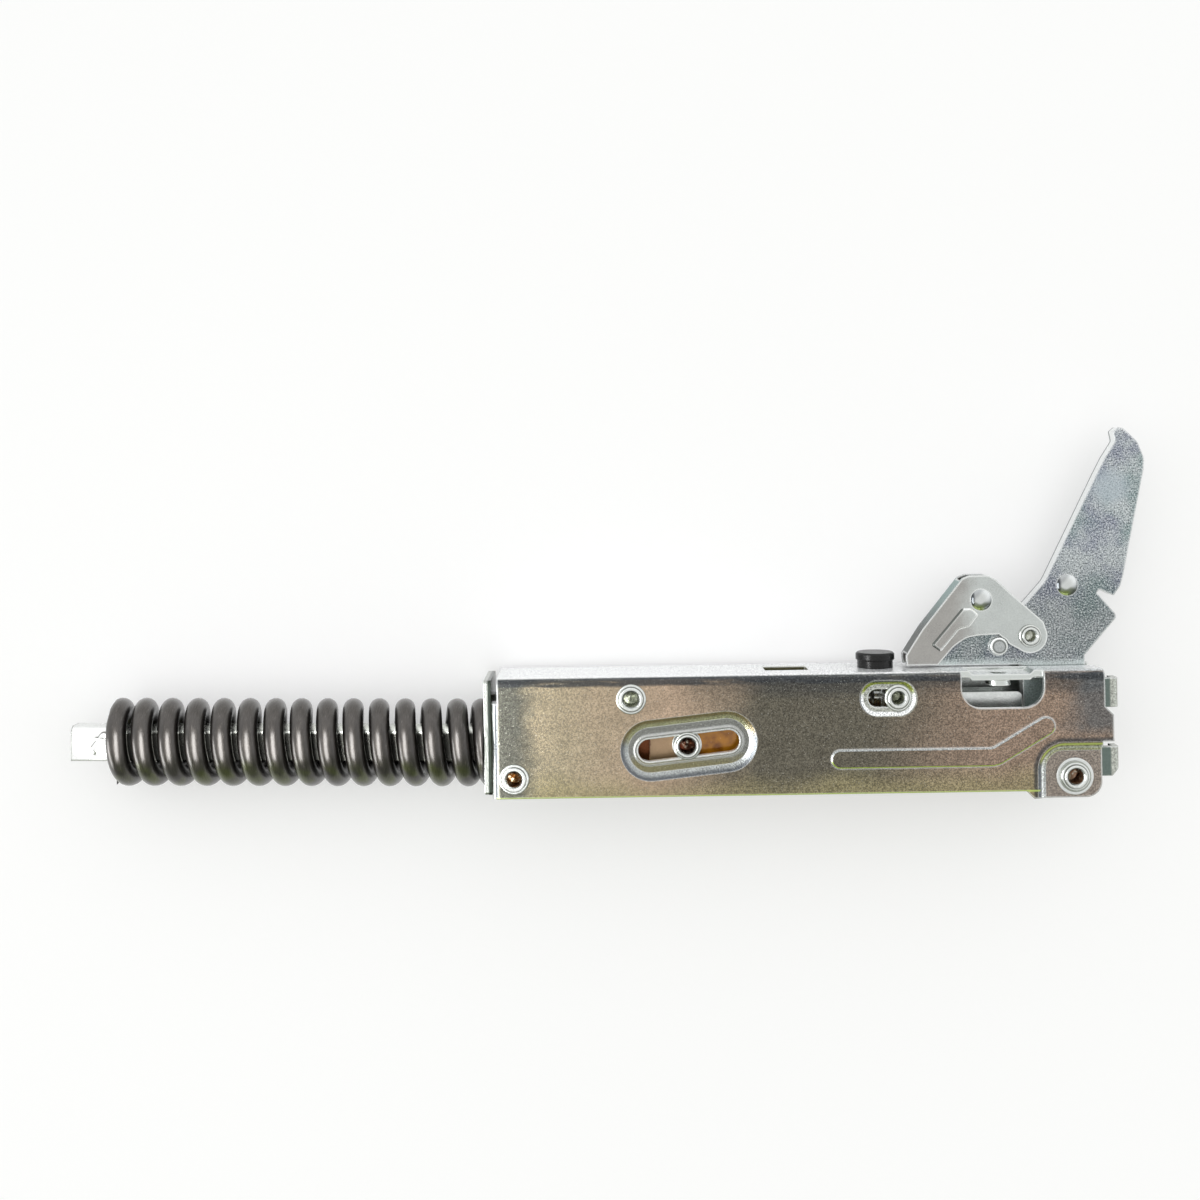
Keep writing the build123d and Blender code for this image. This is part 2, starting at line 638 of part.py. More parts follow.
def spring_seat_plate():
    """The plate that the spring's right end presses on, with a tall hole for the rod."""
    high = CHANNEL_HEIGHT - SEAT_GAP
    face = Pos((SEAT_LOW + high) / 2, 0) * RectangleRounded(high - SEAT_LOW, SEAT_WIDTH, 1.0)
    rise = tan(radians(ROD_TILT))
    rod_middle = SLIDER_START[1] - ROD_HOLE_RISE + (SLIDER_START[0] - SEAT_LEFT) * rise
    climb = SLIDE_TRAVEL * (sin(radians(SLIDE_ANGLE)) + rise)
    hole_low = rod_middle - ROD_HEIGHT / 2 - BESIDE
    hole_high = rod_middle + ROD_HEIGHT / 2 + climb + BESIDE
    face -= Pos((hole_low + hole_high) / 2, 0) * Rectangle(hole_high - hole_low, ROD_WIDTH + 2 * BESIDE)
    return Pos(SEAT_LEFT, 0, 0) * extrude(Plane.YZ * face, SEAT_THICKNESS)


def pull_rod():
    """A narrow folded channel whose lanced ears hold the far end of the spring."""
    top = ROD_HEIGHT / 2 - ROD_HOLE_RISE
    low = top - ROD_HEIGHT
    section = Pos(top, 0) * folded(ROD_WIDTH, ROD_HEIGHT, ROD_SHEET, ROD_BEND)
    outer_feet = [v for v in section.vertices().group_by(Axis.X)[0] if abs(v.Y) > ROD_SIDE - SEATED]
    section = fillet(outer_feet, ROD_EDGE_ROUND)
    body = Pos(ROD_LEFT, 0, 0) * extrude(Plane.YZ * section, ROD_TAIL - ROD_LEFT)
    right = SPRING_LEFT - LOOSE
    left = right - EAR_LENGTH
    flat = ROD_SIDE - ROD_SHEET
    ear = polygon([
        (left - ROD_SHEET, flat), (left, flat), (right, flat + EAR_FLARE), (right, ROD_SIDE + EAR_FLARE),
        (left, ROD_SIDE), (left - ROD_SHEET, ROD_SIDE)])
    middle = (top + low) / 2 - ROD_EDGE_ROUND
    ear = Pos(0, middle - EAR_HEIGHT / 2, 0) * extrude(Plane.XZ * ear, EAR_HEIGHT, dir=(0, 1, 0))
    body -= Pos((left + right) / 2, middle, 0) * Box(EAR_LENGTH, EAR_HEIGHT, 2 * ROD_WIDTH)
    nick = Pos(right - ROD_SHEET, middle + EAR_HEIGHT / 2, 0)
    body -= nick * Box(1.5 * ROD_SHEET, ROD_SHEET, 2 * ROD_WIDTH)
    for piece in both_sides(ear):
        body += piece
    body -= round_bar((0, 0), SLIDER_SHANK + SEATED, -ROD_WIDTH, ROD_WIDTH)
    return on_rod(body)


def slider_rivet():
    return hollow_rivet(SLIDER_START, SLIDER_SHANK, SLOT_FLOOR + SLOT_LIP + RUNNING, SLIDER_HEAD, SLIDER_BORE)


def slider_washers():
    inside = WALL_IN - SLOT_DISH_DEPTH - LOOSE
    return pair(ring(SLIDER_START, SLIDER_WASHER_RADIUS, SLIDER_SHANK + SEATED, LINK_OUT + LOOSE, inside))


# Drag links between the slider and the arm's crank

def drag_link():
    """The near link: an eye with a square tail on the slider's rivet and a short slot on the crank pin."""
    along = (cos(radians(LINK_SLOT_ANGLE)), sin(radians(LINK_SLOT_ANGLE)))
    half = LINK_SLOT_LENGTH / 2
    middle = [CRANK_PIN[i] + (half - LOOSE) * along[i] for i in (0, 1)]
    height = 2 * (CRANK_NECK_RADIUS + LINK_SLOT_PLAY)
    circles = [Pos(*SLIDER_START) * Circle(LINK_EYE_RADIUS)]
    for side in (-half, half):
        end = [middle[i] + side * along[i] for i in (0, 1)]
        circles.append(Pos(*end) * Circle(height / 2 + LINK_SLOT_WALL))
    outline = hull(*circles)
    outline += Pos(SLIDER_START[0] - LINK_TAIL / 2, SLIDER_START[1]) * Rectangle(LINK_TAIL, 2 * LINK_EYE_RADIUS)
    outline -= Pos(*SLIDER_START) * Circle(SLIDER_SHANK + RUNNING)
    outline -= oblong(middle, LINK_SLOT_LENGTH, height, LINK_SLOT_ANGLE)
    return slab(outline, LINK_IN, LINK_OUT)


def crank_pin():
    """A shouldered pin through the arm: its necks carry the links and its heads keep them on."""
    shoulder = LINK_IN - LOOSE
    neck = LINK_OUT + LOOSE
    head = neck + CRANK_HEAD
    points = [
        (0, 0), (CRANK_PIN_RADIUS, 0), (CRANK_PIN_RADIUS, shoulder), (CRANK_NECK_RADIUS, shoulder),
        (CRANK_NECK_RADIUS, neck), (CRANK_HEAD_RADIUS, neck), (CRANK_HEAD_RADIUS, head - CRANK_HEAD / 2),
        (CRANK_HEAD_RADIUS - CRANK_HEAD / 2, head), (0, head)]
    return Pos(*CRANK_PIN, 0) * turned(points)


# Claw arm

def arm_outline():
    """The arm as it stands with the door shut, claw up and shoulder on the channel's back."""
    pivot_x, pivot_y = MAIN_PIVOT
    crank_x, crank_y = CRANK_PIN
    claw = [(pivot_x + x, WEB_TOP + y, r) for x, y, r in CLAW_EDGE]
    front = pivot_x + SHANK_FRONT
    shank = [
        (front, WEB_TOP - BEND_RADIUS, 0), (front, pivot_y + HUB_RADIUS, 0), (pivot_x + HUB_RADIUS, pivot_y, 0),
        (pivot_x, pivot_y, 0), (crank_x, crank_y, 0), (crank_x - CRANK_EYE_RADIUS, crank_y, 0),
        (crank_x - CRANK_EYE_RADIUS, crank_y + CRANK_EYE_RADIUS, 0),
        (CAM_X, crank_y + 2 * CRANK_EYE_RADIUS, 1.0), (CAM_X, WEB_TOP + BESIDE, 1.2)]
    foot = hull(Pos(*MAIN_PIVOT) * Circle(HUB_RADIUS), Pos(*CRANK_PIN) * Circle(CRANK_EYE_RADIUS))
    return profile(claw + shank) + foot


def dimple(place, face):
    """A round pressed bump on a sheet's face."""
    ball = (DIMPLE_RADIUS ** 2 + DIMPLE_HEIGHT ** 2) / (2 * DIMPLE_HEIGHT)
    cap = Pos(*place, face + DIMPLE_HEIGHT - ball) * Sphere(ball)
    return cap & round_bar(place, 2 * DIMPLE_RADIUS, face - SEATED, face + 2 * DIMPLE_HEIGHT)


def claw_arm():
    body = slab(arm_outline(), -ARM_FACE, ARM_FACE)
    body += dimple((MAIN_PIVOT[0] + ARM_DIMPLE[0], WEB_TOP + ARM_DIMPLE[1]), ARM_FACE)
    across = (-WALL_OUT, WALL_OUT)
    body -= round_bar(MAIN_PIVOT, PIVOT_SHANK + RUNNING, *across)
    body -= round_bar(CRANK_PIN, CRANK_PIN_RADIUS + SEATED, *across)
    body -= round_bar(LEVER_PIVOT, LEVER_SHANK + SEATED, *across)
    return body - round_bar(STOP_PIN, STOP_PIN_RADIUS + SEATED, *across)


def lever_rivet():
    """A tubular rivet whose heads hold the lever's two cheeks on the arm."""
    seat = LEVER_OUT + RUNNING
    floor = ARM_FACE / 2
    points = [(0, 0), (LEVER_SHANK, 0), (LEVER_SHANK, seat), *rolled_head(seat, LEVER_HEAD, LEVER_BORE)]
    points += [(LEVER_BORE, floor), (0, floor - LEVER_BORE / 3)]
    return Pos(*LEVER_PIVOT, 0) * turned(points)


def lever_stop_pin():
    reach = LEVER_OUT + BESIDE
    pin = round_bar(STOP_PIN, STOP_PIN_RADIUS, -reach, reach)
    return chamfer(pin.edges().filter_by(GeomType.CIRCLE), BESIDE)


# Lock lever

def lever_outline():
    """One cheek of the lever, with the hooked notch that rests on the stop pin."""
    cheek = profile(LEVER_EDGE, LEVER_PIVOT) + Pos(*LEVER_PIVOT) * Circle(LEVER_HEEL)
    return cheek - Pos(*STOP_PIN) * Circle(STOP_PIN_RADIUS + LEVER_GAP)


def lock_lever():
    outline = lever_outline()
    near, far = both_sides(slab(outline, LEVER_IN, LEVER_OUT))
    fold = slab(profile(LEVER_FOLD, LEVER_PIVOT) & outline, -LEVER_OUT, LEVER_OUT)
    body = near + far + fold
    rib = Pos(0, 0, LEVER_OUT) * profile(LEVER_RIB, LEVER_PIVOT)
    body += extrude(rib, LEVER_RIB_HEIGHT, taper=RIB_ANGLE)
    place = (LEVER_PIVOT[0] + LEVER_DIMPLE[0], LEVER_PIVOT[1] + LEVER_DIMPLE[1])
    body += dimple(place, LEVER_OUT)
    return body - round_bar(LEVER_PIVOT, LEVER_SHANK + RUNNING, -WALL_OUT, WALL_OUT)


# Plunger that cushions the arm's last degrees

def plunger_outline():
    x, y = PLUNGER_RIVET
    back = x - PLUNGER_BACK
    nose = CAM_X - CAM_GAP
    top = WEB_UNDER - BUMPER_BARB - 2 * BESIDE
    slope = x + 2 * PLUNGER_BACK + BUMPER_OFFSET
    return profile([
        (back, y - NOSE_BOTTOM + PLUNGER_BACK, 0), (back, top, 0), (x + 2 * PLUNGER_BACK, top, 1.0),
        (slope, y + NOSE_TOP, 1.0), (nose, y + NOSE_TOP, 1.5), (nose, y - NOSE_BOTTOM, 1.0),
        (back + PLUNGER_BACK, y - NOSE_BOTTOM, 0)])


def plunger():
    """A folded bar, open below, with a stem on its back for the spring."""
    outline = plunger_outline()
    fold = PLUNGER_SHEET
    hollow = Pos(-fold, -fold) * outline
    behind = PLUNGER_RIVET[0] - PLUNGER_BACK + fold
    length = CAM_X - behind
    hollow &= Pos(behind + length / 2, PLUNGER_RIVET[1]) * Rectangle(length, CHANNEL_HEIGHT)
    body = slab(outline, -PLUNGER_SIDE, PLUNGER_SIDE) - slab(hollow, fold - PLUNGER_SIDE, PLUNGER_SIDE - fold)
    stem = Plane.YZ * Pos(PLUNGER_RIVET[1], 0) * Circle(PLUNGER_STEM_RADIUS)
    body += Pos(PLUNGER_RIVET[0] - PLUNGER_BACK - PLUNGER_STEM, 0, 0) * extrude(stem, PLUNGER_STEM + fold / 2)
    return body - round_bar(PLUNGER_RIVET, PLUNGER_SHANK + SEATED, -WALL_OUT, WALL_OUT)


def plunger_rivet():
    seat = WALL_OUT - PLUNGER_DISH_DEPTH + RUNNING
    return hollow_rivet(PLUNGER_RIVET, PLUNGER_SHANK, seat, PLUNGER_HEAD, PLUNGER_BORE)


def plunger_spacers():
    inside = WALL_IN - PLUNGER_DISH_DEPTH - LOOSE
    return pair(ring(PLUNGER_RIVET, PLUNGER_SPACER_RADIUS, PLUNGER_SHANK + SEATED, PLUNGER_SIDE, inside))


def bumper():
    """A rubber button pushed into the channel's back, for the door's inner panel."""
    top = WEB_TOP + BUMPER_HEIGHT
    low = WEB_UNDER - BUMPER_BARB
    waist = BUMPER_RADIUS - 0.4
    barb = BUMPER_STEM + 0.6
    points = [
        (0, top), (BUMPER_RADIUS - 0.4, top), (BUMPER_RADIUS, top - 0.4), (BUMPER_RADIUS, WEB_TOP + BUMPER_WAIST),
        (waist, WEB_TOP + BUMPER_WAIST - 0.2), (waist, WEB_TOP), (BUMPER_STEM, WEB_TOP),
        (BUMPER_STEM, WEB_UNDER - RUNNING), (barb, WEB_UNDER - RUNNING), (BUMPER_STEM - 0.5, low), (0, low)]
    return Pos(BUMPER_X, 0, 0) * revolve(polygon(points), Axis.Y)


def build():
    """Every piece of the hinge by its name."""
    bracket_near, bracket_far = both_sides(front_bracket())
    link_near, link_far = both_sides(drag_link())
    return {
        "housing": housing(),
        "front_bracket_near": bracket_near,
        "front_bracket_far": bracket_far,
        "spring_seat_plate": spring_seat_plate(),
        "tie_rivets": tie_rivets(),
        "tie_spacers": tie_spacers(),
        "main_pivot_rivet": main_pivot_rivet(),
        "main_pivot_washers": pivot_washers(),
        "pivot_bushes": pivot_bushes(),
        "bumper": bumper(),
        "main_spring": main_spring(),
        "pull_rod": pull_rod(),
        "slider_rivet": slider_rivet(),
        "slider_washers": slider_washers(),
        "drag_link_near": link_near,
        "drag_link_far": link_far,
        "claw_arm": claw_arm(),
        "crank_pin": crank_pin(),
        "lever_rivet": lever_rivet(),
        "lever_stop_pin": lever_stop_pin(),
        "lock_lever": lock_lever(),
        "plunger": plunger(),
        "plunger_rivet": plunger_rivet(),
        "plunger_spacers": plunger_spacers(),
        "plunger_spring": plunger_spring(),
    }


def main():
    pieces = build()
    boxes = [piece.bounding_box() for piece in pieces.values()]
    left, right = min(box.min.X for box in boxes), max(box.max.X for box in boxes)
    front, back = min(box.min.Y for box in boxes), max(box.max.Y for box in boxes)
    shift = Pos(-(left + right) / 2, -(front + back) / 2, -min(box.min.Z for box in boxes))
    print("moved by", [round(v, 4) for v in shift.position])
    os.makedirs("parts", exist_ok=True)
    for name, piece in pieces.items():
        print(name, len(piece.solids()), round(piece.volume, 1), piece.is_valid)
        export_step(shift * piece, f"parts/{name}.step")


if __name__ == "__main__":
    main()
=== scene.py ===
import bmesh
import bpy
from math import cos, pi, radians, sin
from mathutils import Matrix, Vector


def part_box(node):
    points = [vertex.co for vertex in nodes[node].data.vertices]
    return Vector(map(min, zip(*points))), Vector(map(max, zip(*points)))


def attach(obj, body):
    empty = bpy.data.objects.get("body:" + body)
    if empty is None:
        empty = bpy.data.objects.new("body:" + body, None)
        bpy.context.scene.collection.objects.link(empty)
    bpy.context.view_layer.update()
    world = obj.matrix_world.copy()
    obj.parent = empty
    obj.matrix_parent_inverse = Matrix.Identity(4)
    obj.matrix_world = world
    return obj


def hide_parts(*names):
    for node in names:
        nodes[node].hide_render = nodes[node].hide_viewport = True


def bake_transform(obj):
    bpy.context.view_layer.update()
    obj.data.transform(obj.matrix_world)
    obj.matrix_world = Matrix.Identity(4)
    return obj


# Oven door hinge: its finishes, its coiled springs, the lock lever's rib and the rod's ear. Places
# are written in millimetres as the hinge is drawn: X = 0 at the channel's spring end, Y = 0 at the
# open edges of its walls, Z = 0 in the middle of its width.

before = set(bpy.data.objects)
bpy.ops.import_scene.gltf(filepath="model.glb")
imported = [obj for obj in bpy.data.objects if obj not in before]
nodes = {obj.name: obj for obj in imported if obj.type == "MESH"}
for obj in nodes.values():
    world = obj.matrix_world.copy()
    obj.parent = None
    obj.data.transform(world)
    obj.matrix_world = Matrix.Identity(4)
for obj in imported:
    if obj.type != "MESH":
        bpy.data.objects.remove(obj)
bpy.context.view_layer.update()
MM = 0.001

# The channel: its height, where its bend starts, its near wall's two faces and its end flange
CHANNEL_HEIGHT = 30.0
BEND_START = 28.0
WALL_FACE = 11.0
WALL_INSIDE = 9.5
FLANGE_REACH = 1.5

# The dished slot: the distances are from its middle line to its edge and to the dish's foot and rim
SLOT_MIDDLE = (47.65, 12.5)
SLOT_SPAN = 19.9
SLIDE_ANGLE = radians(6.0)
SLOT_EDGE = 3.0
SLOT_FOOT = 3.86
SLOT_RIM = 5.75

# The plunger's slot, the dish at the arm's pivot, and a place between that dish and the slots
PLUNGER_SLOT = (97.65, 23.65)
PLUNGER_SLOT_SPAN = 4.9
PLUNGER_DISH = 4.6
CORNER_DISH = (141.2, 5.2)
CORNER_RADIUS = 6.8
DISH_PARTING = 125.0

# Rivets, pins and dimples
SLIDER = (47.302, 12.463)
MAIN_PIVOT = (143.7, 3.5)
PLUNGER_RIVET = (99.9, 23.65)
END_TIE = (4.0, 4.9)
UPPER_TIE = (33.4, 24.4)
LEVER_PIVOT = (135.15, 37.7)
STOP_PIN = (127.25, 35.1)
ARM_DIMPLE = (145.1, 50.35)
LEVER_DIMPLE = (122.85, 47.0)
DIMPLE_EDGE = (2.75, 2.6)

# The arm's and the lever's near faces, and a pale patch on the arm
ARM_FACE = 2.0
LEVER_FACE = 3.15
ARM_PATCH = (156.5, 75.2)

# The rod: its tilt, its near side, its ear and where the spring ends on it
ROD_TILT = radians(1.0)
ROD_SIDE = 3.7
ROD_EAR = (-102.3, 12.7)
ROD_BARE = -97.5

# Where the brackets' tabs turn light and the seat plate comes out of the shadow
TAB_TIP = 153.2
SEAT_SHADE = -2.6

# Colours that several finishes share: pale ones for painted highlights along edges (the second also
# for the arm's sides), and a dark one for painted shade and dark painted reflections
EDGE_HIGHLIGHT_ZINC = (0.88, 0.90, 0.89)
SIDE_AND_HIGHLIGHT_ZINC = (0.86, 0.88, 0.88)
PALE_ZINC = (0.86, 0.88, 0.87)
DARK_ZINC = (0.05, 0.055, 0.06)

housing_low, housing_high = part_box("housing")
OFFSET = Vector((
    housing_low.x / MM + FLANGE_REACH,
    housing_high.y / MM - CHANNEL_HEIGHT,
    (housing_low.z + housing_high.z) / 2 / MM))


def at(x, y, z):
    """A drawn place in the frame's metres."""
    return (Vector((x, y, z)) + OFFSET) * MM


# Shader expressions

class Value:
    """A number that runs through a material, with the usual operators."""

    def __init__(self, shade, socket):
        self.shade = shade
        self.socket = socket

    def math(self, operation, first, second):
        return self.shade.node("ShaderNodeMath", {0: first, 1: second}, operation=operation)

    def __add__(self, other):
        return self.math("ADD", self, other)

    def __sub__(self, other):
        return self.math("SUBTRACT", self, other)

    def __rsub__(self, other):
        return self.math("SUBTRACT", other, self)

    def __mul__(self, other):
        return self.math("MULTIPLY", self, other)

    def __pow__(self, other):
        return self.math("POWER", self, other)

    __radd__ = __add__
    __rmul__ = __mul__

    def size(self):
        """The number without its sign."""
        return (self * self) ** 0.5

    def least(self, other):
        return self.math("MINIMUM", self, other)

    def most(self, other):
        return self.math("MAXIMUM", self, other)


def length(across, along):
    """The distance that two numbers make at right angles."""
    return (across * across + along * along) ** 0.5


class Nodes:
    """A node tree and the ways to add to it."""

    def __init__(self, tree):
        self.tree = tree

    def node(self, kind, inputs=None, out=0, **settings):
        """Add a node, with its settings first and then its inputs, and give one of its outputs."""
        made = self.tree.nodes.new(kind)
        for key, value in settings.items():
            setattr(made, key, value)
        for key, value in (inputs or {}).items():
            self.plug(made.inputs[key], value)
        return Value(self, made.outputs[out])

    def plug(self, socket, value):
        """Link a value to a socket, or set the socket to a constant."""
        if isinstance(value, Value):
            self.tree.links.new(value.socket, socket)
        elif hasattr(socket.default_value, "__len__") and len(socket.default_value) == 4:
            socket.default_value = (*value, 1.0)
        else:
            socket.default_value = value

    def band(self, value, low, high):
        """0 below low and 1 above high, or the other way round, with a soft step."""
        return self.node(
            "ShaderNodeMapRange", {"Value": value, "From Min": low, "From Max": high},
            interpolation_type="SMOOTHSTEP")

    def mix(self, first, second, share):
        """The first colour where the share is 0 and the second where it is 1."""
        return self.node(
            "ShaderNodeMix", {"Factor": share, 6: first, 7: second}, out=2, data_type="RGBA")

    def scaled(self, colour, share):
        """A colour made darker or lighter by a share."""
        return self.node(
            "ShaderNodeVectorMath", {0: colour, "Scale": share}, operation="SCALE")

    def parts(self, vector):
        """The three numbers of a vector."""
        split = self.node("ShaderNodeSeparateXYZ", {0: vector})
        return [Value(self, socket) for socket in split.socket.node.outputs]


class Shade(Nodes):
    """One material and the nodes that make its finish."""

    def __init__(self, name):
        self.material = bpy.data.materials.new(name)
        self.material.use_nodes = True
        super().__init__(self.material.node_tree)
        self.surface = self.tree.nodes["Principled BSDF"]
        place = self.node("ShaderNodeTexCoord", out="Object")
        self.place = self.node(
            "ShaderNodeVectorMath", {0: place, 1: OFFSET * MM}, operation="SUBTRACT")
        self.x, self.y, self.z = [part * (1 / MM) for part in self.parts(self.place)]

    def set(self, **values):
        """Give the surface its colour, roughness and so on."""
        for key, value in values.items():
            self.plug(self.surface.inputs[key.replace("_", " ").title()], value)
        return self.material

    def noise(self, size, detail=3.0, stretch=(1, 1, 1), rough=0.5):
        """Clouds whose blotches are about the given size in millimetres."""
        place = self.node(
            "ShaderNodeVectorMath", {0: self.place, 1: Vector(stretch) / (size * MM)},
            operation="MULTIPLY")
        return self.node(
            "ShaderNodeTexNoise",
            {"Vector": place, "Scale": 1.0, "Detail": detail, "Roughness": rough})

    def reach(self, centre):
        """The distance across the wall from a drawn place."""
        return length(self.x - centre[0], self.y - centre[1])

    def reach_slot(self, middle, span, angle):
        """The distance across the wall from the middle line of a slot."""
        across, along = self.x - middle[0], self.y - middle[1]
        run = across * cos(angle) + along * sin(angle)
        rise = along * cos(angle) - across * sin(angle)
        return length((run.size() - span / 2).most(0.0), rise)

    def reach_corner(self, centre):
        """The distance from a corner's centre, for an outline that runs on right and down."""
        return length((centre[0] - self.x).most(0.0), (self.y - centre[1]).most(0.0))

    def stripe(self, value, middle, width):
        """1 at the middle and 0 at half the width away on both sides."""
        below = self.band(value, middle - width / 2, middle)
        above = self.band(value, middle + width / 2, middle)
        return below * above

    def facing(self):
        """The surface's own direction, as three numbers."""
        return self.parts(self.node("ShaderNodeTexCoord", out="Normal"))

    def near_edges(self, radius):
        """1 along the edges of the piece, within the radius."""
        here = self.node("ShaderNodeNewGeometry", out="Normal")
        alike = self.node(
            "ShaderNodeVectorMath", {0: here, 1: self.soft_edges(radius)}, out=1,
            operation="DOT_PRODUCT")
        return self.band(alike, 0.996, 0.95)

    def soft_edges(self, radius):
        """The surface's direction with every edge rounded to the radius."""
        return self.node("ShaderNodeBevel", {"Radius": radius * MM}, samples=6)

    def bump(self, height, depth, normal=None):
        """Relief in millimetres on top of the surface or of another normal."""
        inputs = {"Height": height, "Distance": depth * MM, "Strength": 1.0}
        if normal:
            inputs["Normal"] = normal
        return self.node("ShaderNodeBump", inputs)


# Finishes

def housing_zinc():
    """Warm passivated zinc: beige, pink and olive stains, a fine sparkle and drawn streaks, with
    painted light and shade on its bend, dishes, edges and inside.
    """
    s = Shade("housing_zinc")
    clouds = s.noise(22.0, 2.0)
    patches = s.noise(6.0, 3.0, rough=0.6)
    fine = s.band(s.noise(0.36, 2.0, rough=0.9), 0.38, 0.62)
    speck = s.noise(0.9, 2.0, rough=0.8)
    streaks = s.noise(2.4, 4.0, stretch=(0.1, 1.0, 1.0), rough=0.7)
    across, along, up = s.facing()

    # Stains of the wall, from the spring's end to the arm's, with painted shade under the bend and
    # at the spring end
    beige, pink = (0.345, 0.30, 0.208), (0.42, 0.315, 0.228)
    colour = s.mix(beige, pink, s.band(s.x + 26 * clouds, 20.0, 62.0))
    dark = s.band(s.x + 26 * clouds, 55.0, 80.0)
    colour = s.mix(colour, (0.125, 0.115, 0.09), dark)
    colour = s.mix(colour, (0.285, 0.21, 0.16), s.band(s.x + 22 * clouds, 98.0, 136.0))
    colour = s.mix(colour, (0.29, 0.255, 0.14), s.band(s.y + 9 * clouds, 12.0, 4.5) * 0.7)
    colour = s.scaled(colour, 0.46 + 0.32 * patches + 0.34 * speck + 0.40 * streaks)
    # Painted dark reflection under the bend, reaching further down in the middle of the wall
    smear_and_dark_reflection = s.band(s.y + 8 * streaks, 27.0, 31.5) * s.band(s.x + 20 * clouds, 50.0, 84.0)
    colour = s.mix(colour, (0.06, 0.062, 0.062), smear_and_dark_reflection * 0.7)
    # Painted shade at the spring end: dark speckled grey that holds back the soft box's reflection
    end = s.band(s.x + 7 * patches, 15.0, 7.5)
    colour = s.mix(colour, s.scaled((0.095, 0.10, 0.088), 0.3 + 1.4 * speck), end * 0.9)
    bluish = s.band(s.x + 9 * patches, 143.0, 152.0) * s.band(s.y + 6 * patches, 14.0, 20.0)
    colour = s.mix(colour, (0.10, 0.115, 0.125), bluish * 0.75)

    # Floors and rims of the dishes, with painted highlights and shade on the slot's dish and a
    # painted dark band round the pivot dish
    slot = s.reach_slot(SLOT_MIDDLE, SLOT_SPAN, SLIDE_ANGLE)
    small = s.band(
        s.reach_slot(PLUNGER_SLOT, PLUNGER_SLOT_SPAN, 0.0), PLUNGER_DISH + 0.1, PLUNGER_DISH - 0.1)
    corner = s.reach_corner(CORNER_DISH)
    dished = s.band(s.z, WALL_FACE - 0.3, WALL_FACE - 0.55)
    grey, olive = (0.2, 0.205, 0.19), (0.20, 0.185, 0.105)
    sunk = s.mix(grey, olive, s.band(s.y + 4 * patches, 13.0, 9.5))
    colour = s.mix(colour, sunk, dished * s.band(s.x, DISH_PARTING, DISH_PARTING - 5.0))
    colour = s.mix(
        colour, (0.26, 0.225, 0.195), dished * s.band(s.x, DISH_PARTING, DISH_PARTING + 5.0))
    # Painted highlight on the slot's edge, painted shade at the dish's foot, painted highlight on
    # its rim
    colour = s.mix(colour, (0.62, 0.64, 0.62), s.stripe(slot, SLOT_EDGE, 0.6) * 0.8)
    colour = s.mix(colour, (0.05, 0.05, 0.04), s.stripe(slot, SLOT_FOOT, 0.5) * 0.8)
    colour = s.mix(colour, (0.60, 0.62, 0.56), s.stripe(slot, SLOT_RIM, 0.5) * 0.8)
    colour = s.mix(colour, (0.50, 0.52, 0.47), small * 0.6)
    # Painted dark band on the pivot dish's outer slope
    colour = s.mix(colour, DARK_ZINC, s.stripe(corner, CORNER_RADIUS + 0.5, 2.2) * 0.85)

    # Slopes of the dishes and ribs, painted as reflections: grey where they face up, yellow and
    # green where they face down
    slope = s.band(up, 0.985, 0.93) * s.band(s.y, BEND_START - 0.1, BEND_START - 0.6)
    deep = s.band(s.z, WALL_FACE - 0.2, WALL_FACE - 0.7)
    ribbed = s.band(s.z, WALL_FACE, WALL_FACE + 0.08)
    under = s.band(along, -0.05, -0.25)
    lit = s.mix((0.12, 0.13, 0.14), (0.37, 0.39, 0.385), deep.most(ribbed))
    lit = s.mix(lit, (0.84, 0.86, 0.86), small)
    shaded = s.mix((0.33, 0.265, 0.15), (0.62, 0.60, 0.42), deep)
    shaded = s.mix(shaded, (0.45, 0.50, 0.13), small)
    shaded = s.mix(shaded, (0.55, 0.72, 0.13), ribbed)
    colour = s.mix(colour, s.mix(lit, shaded, under), slope)
    # The pivot dish's lip where it faces down, painted green further on
    lip = s.stripe(corner, CORNER_RADIUS - 0.5, 0.9) * under
    # Painted highlight inside the pivot dish's rim
    colour = s.mix(colour, (0.86, 0.88, 0.86), s.stripe(corner, CORNER_RADIUS - 1.3, 1.1) * 0.75)

    # Painted reflections: dark on the bend, white on the channel's back and pale on the faces
    # towards its two ends
    bend = s.band(s.y + 1.8 * streaks, BEND_START + 0.2, BEND_START + 0.9)
    bend = bend * s.band(along, 0.93, 0.75)
    colour = s.mix(colour, DARK_ZINC, bend * s.band(streaks, 0.3, 0.5) * 0.9)
    web_painted_reflection = s.band(along, 0.75, 0.93)
    colour = s.mix(colour, (0.93, 0.945, 0.95), web_painted_reflection)
    colour = s.mix(colour, (0.66, 0.69, 0.70), s.band(across * across, 0.4, 0.8))
    colour = s.scaled(colour, 0.76 - 0.22 * dark + (0.48 + 0.44 * dark) * fine)
    sparkle = s.band(s.noise(0.3, 1.0), 0.67, 0.74)
    colour = s.mix(colour, (0.7, 0.7, 0.65), sparkle * 0.32)

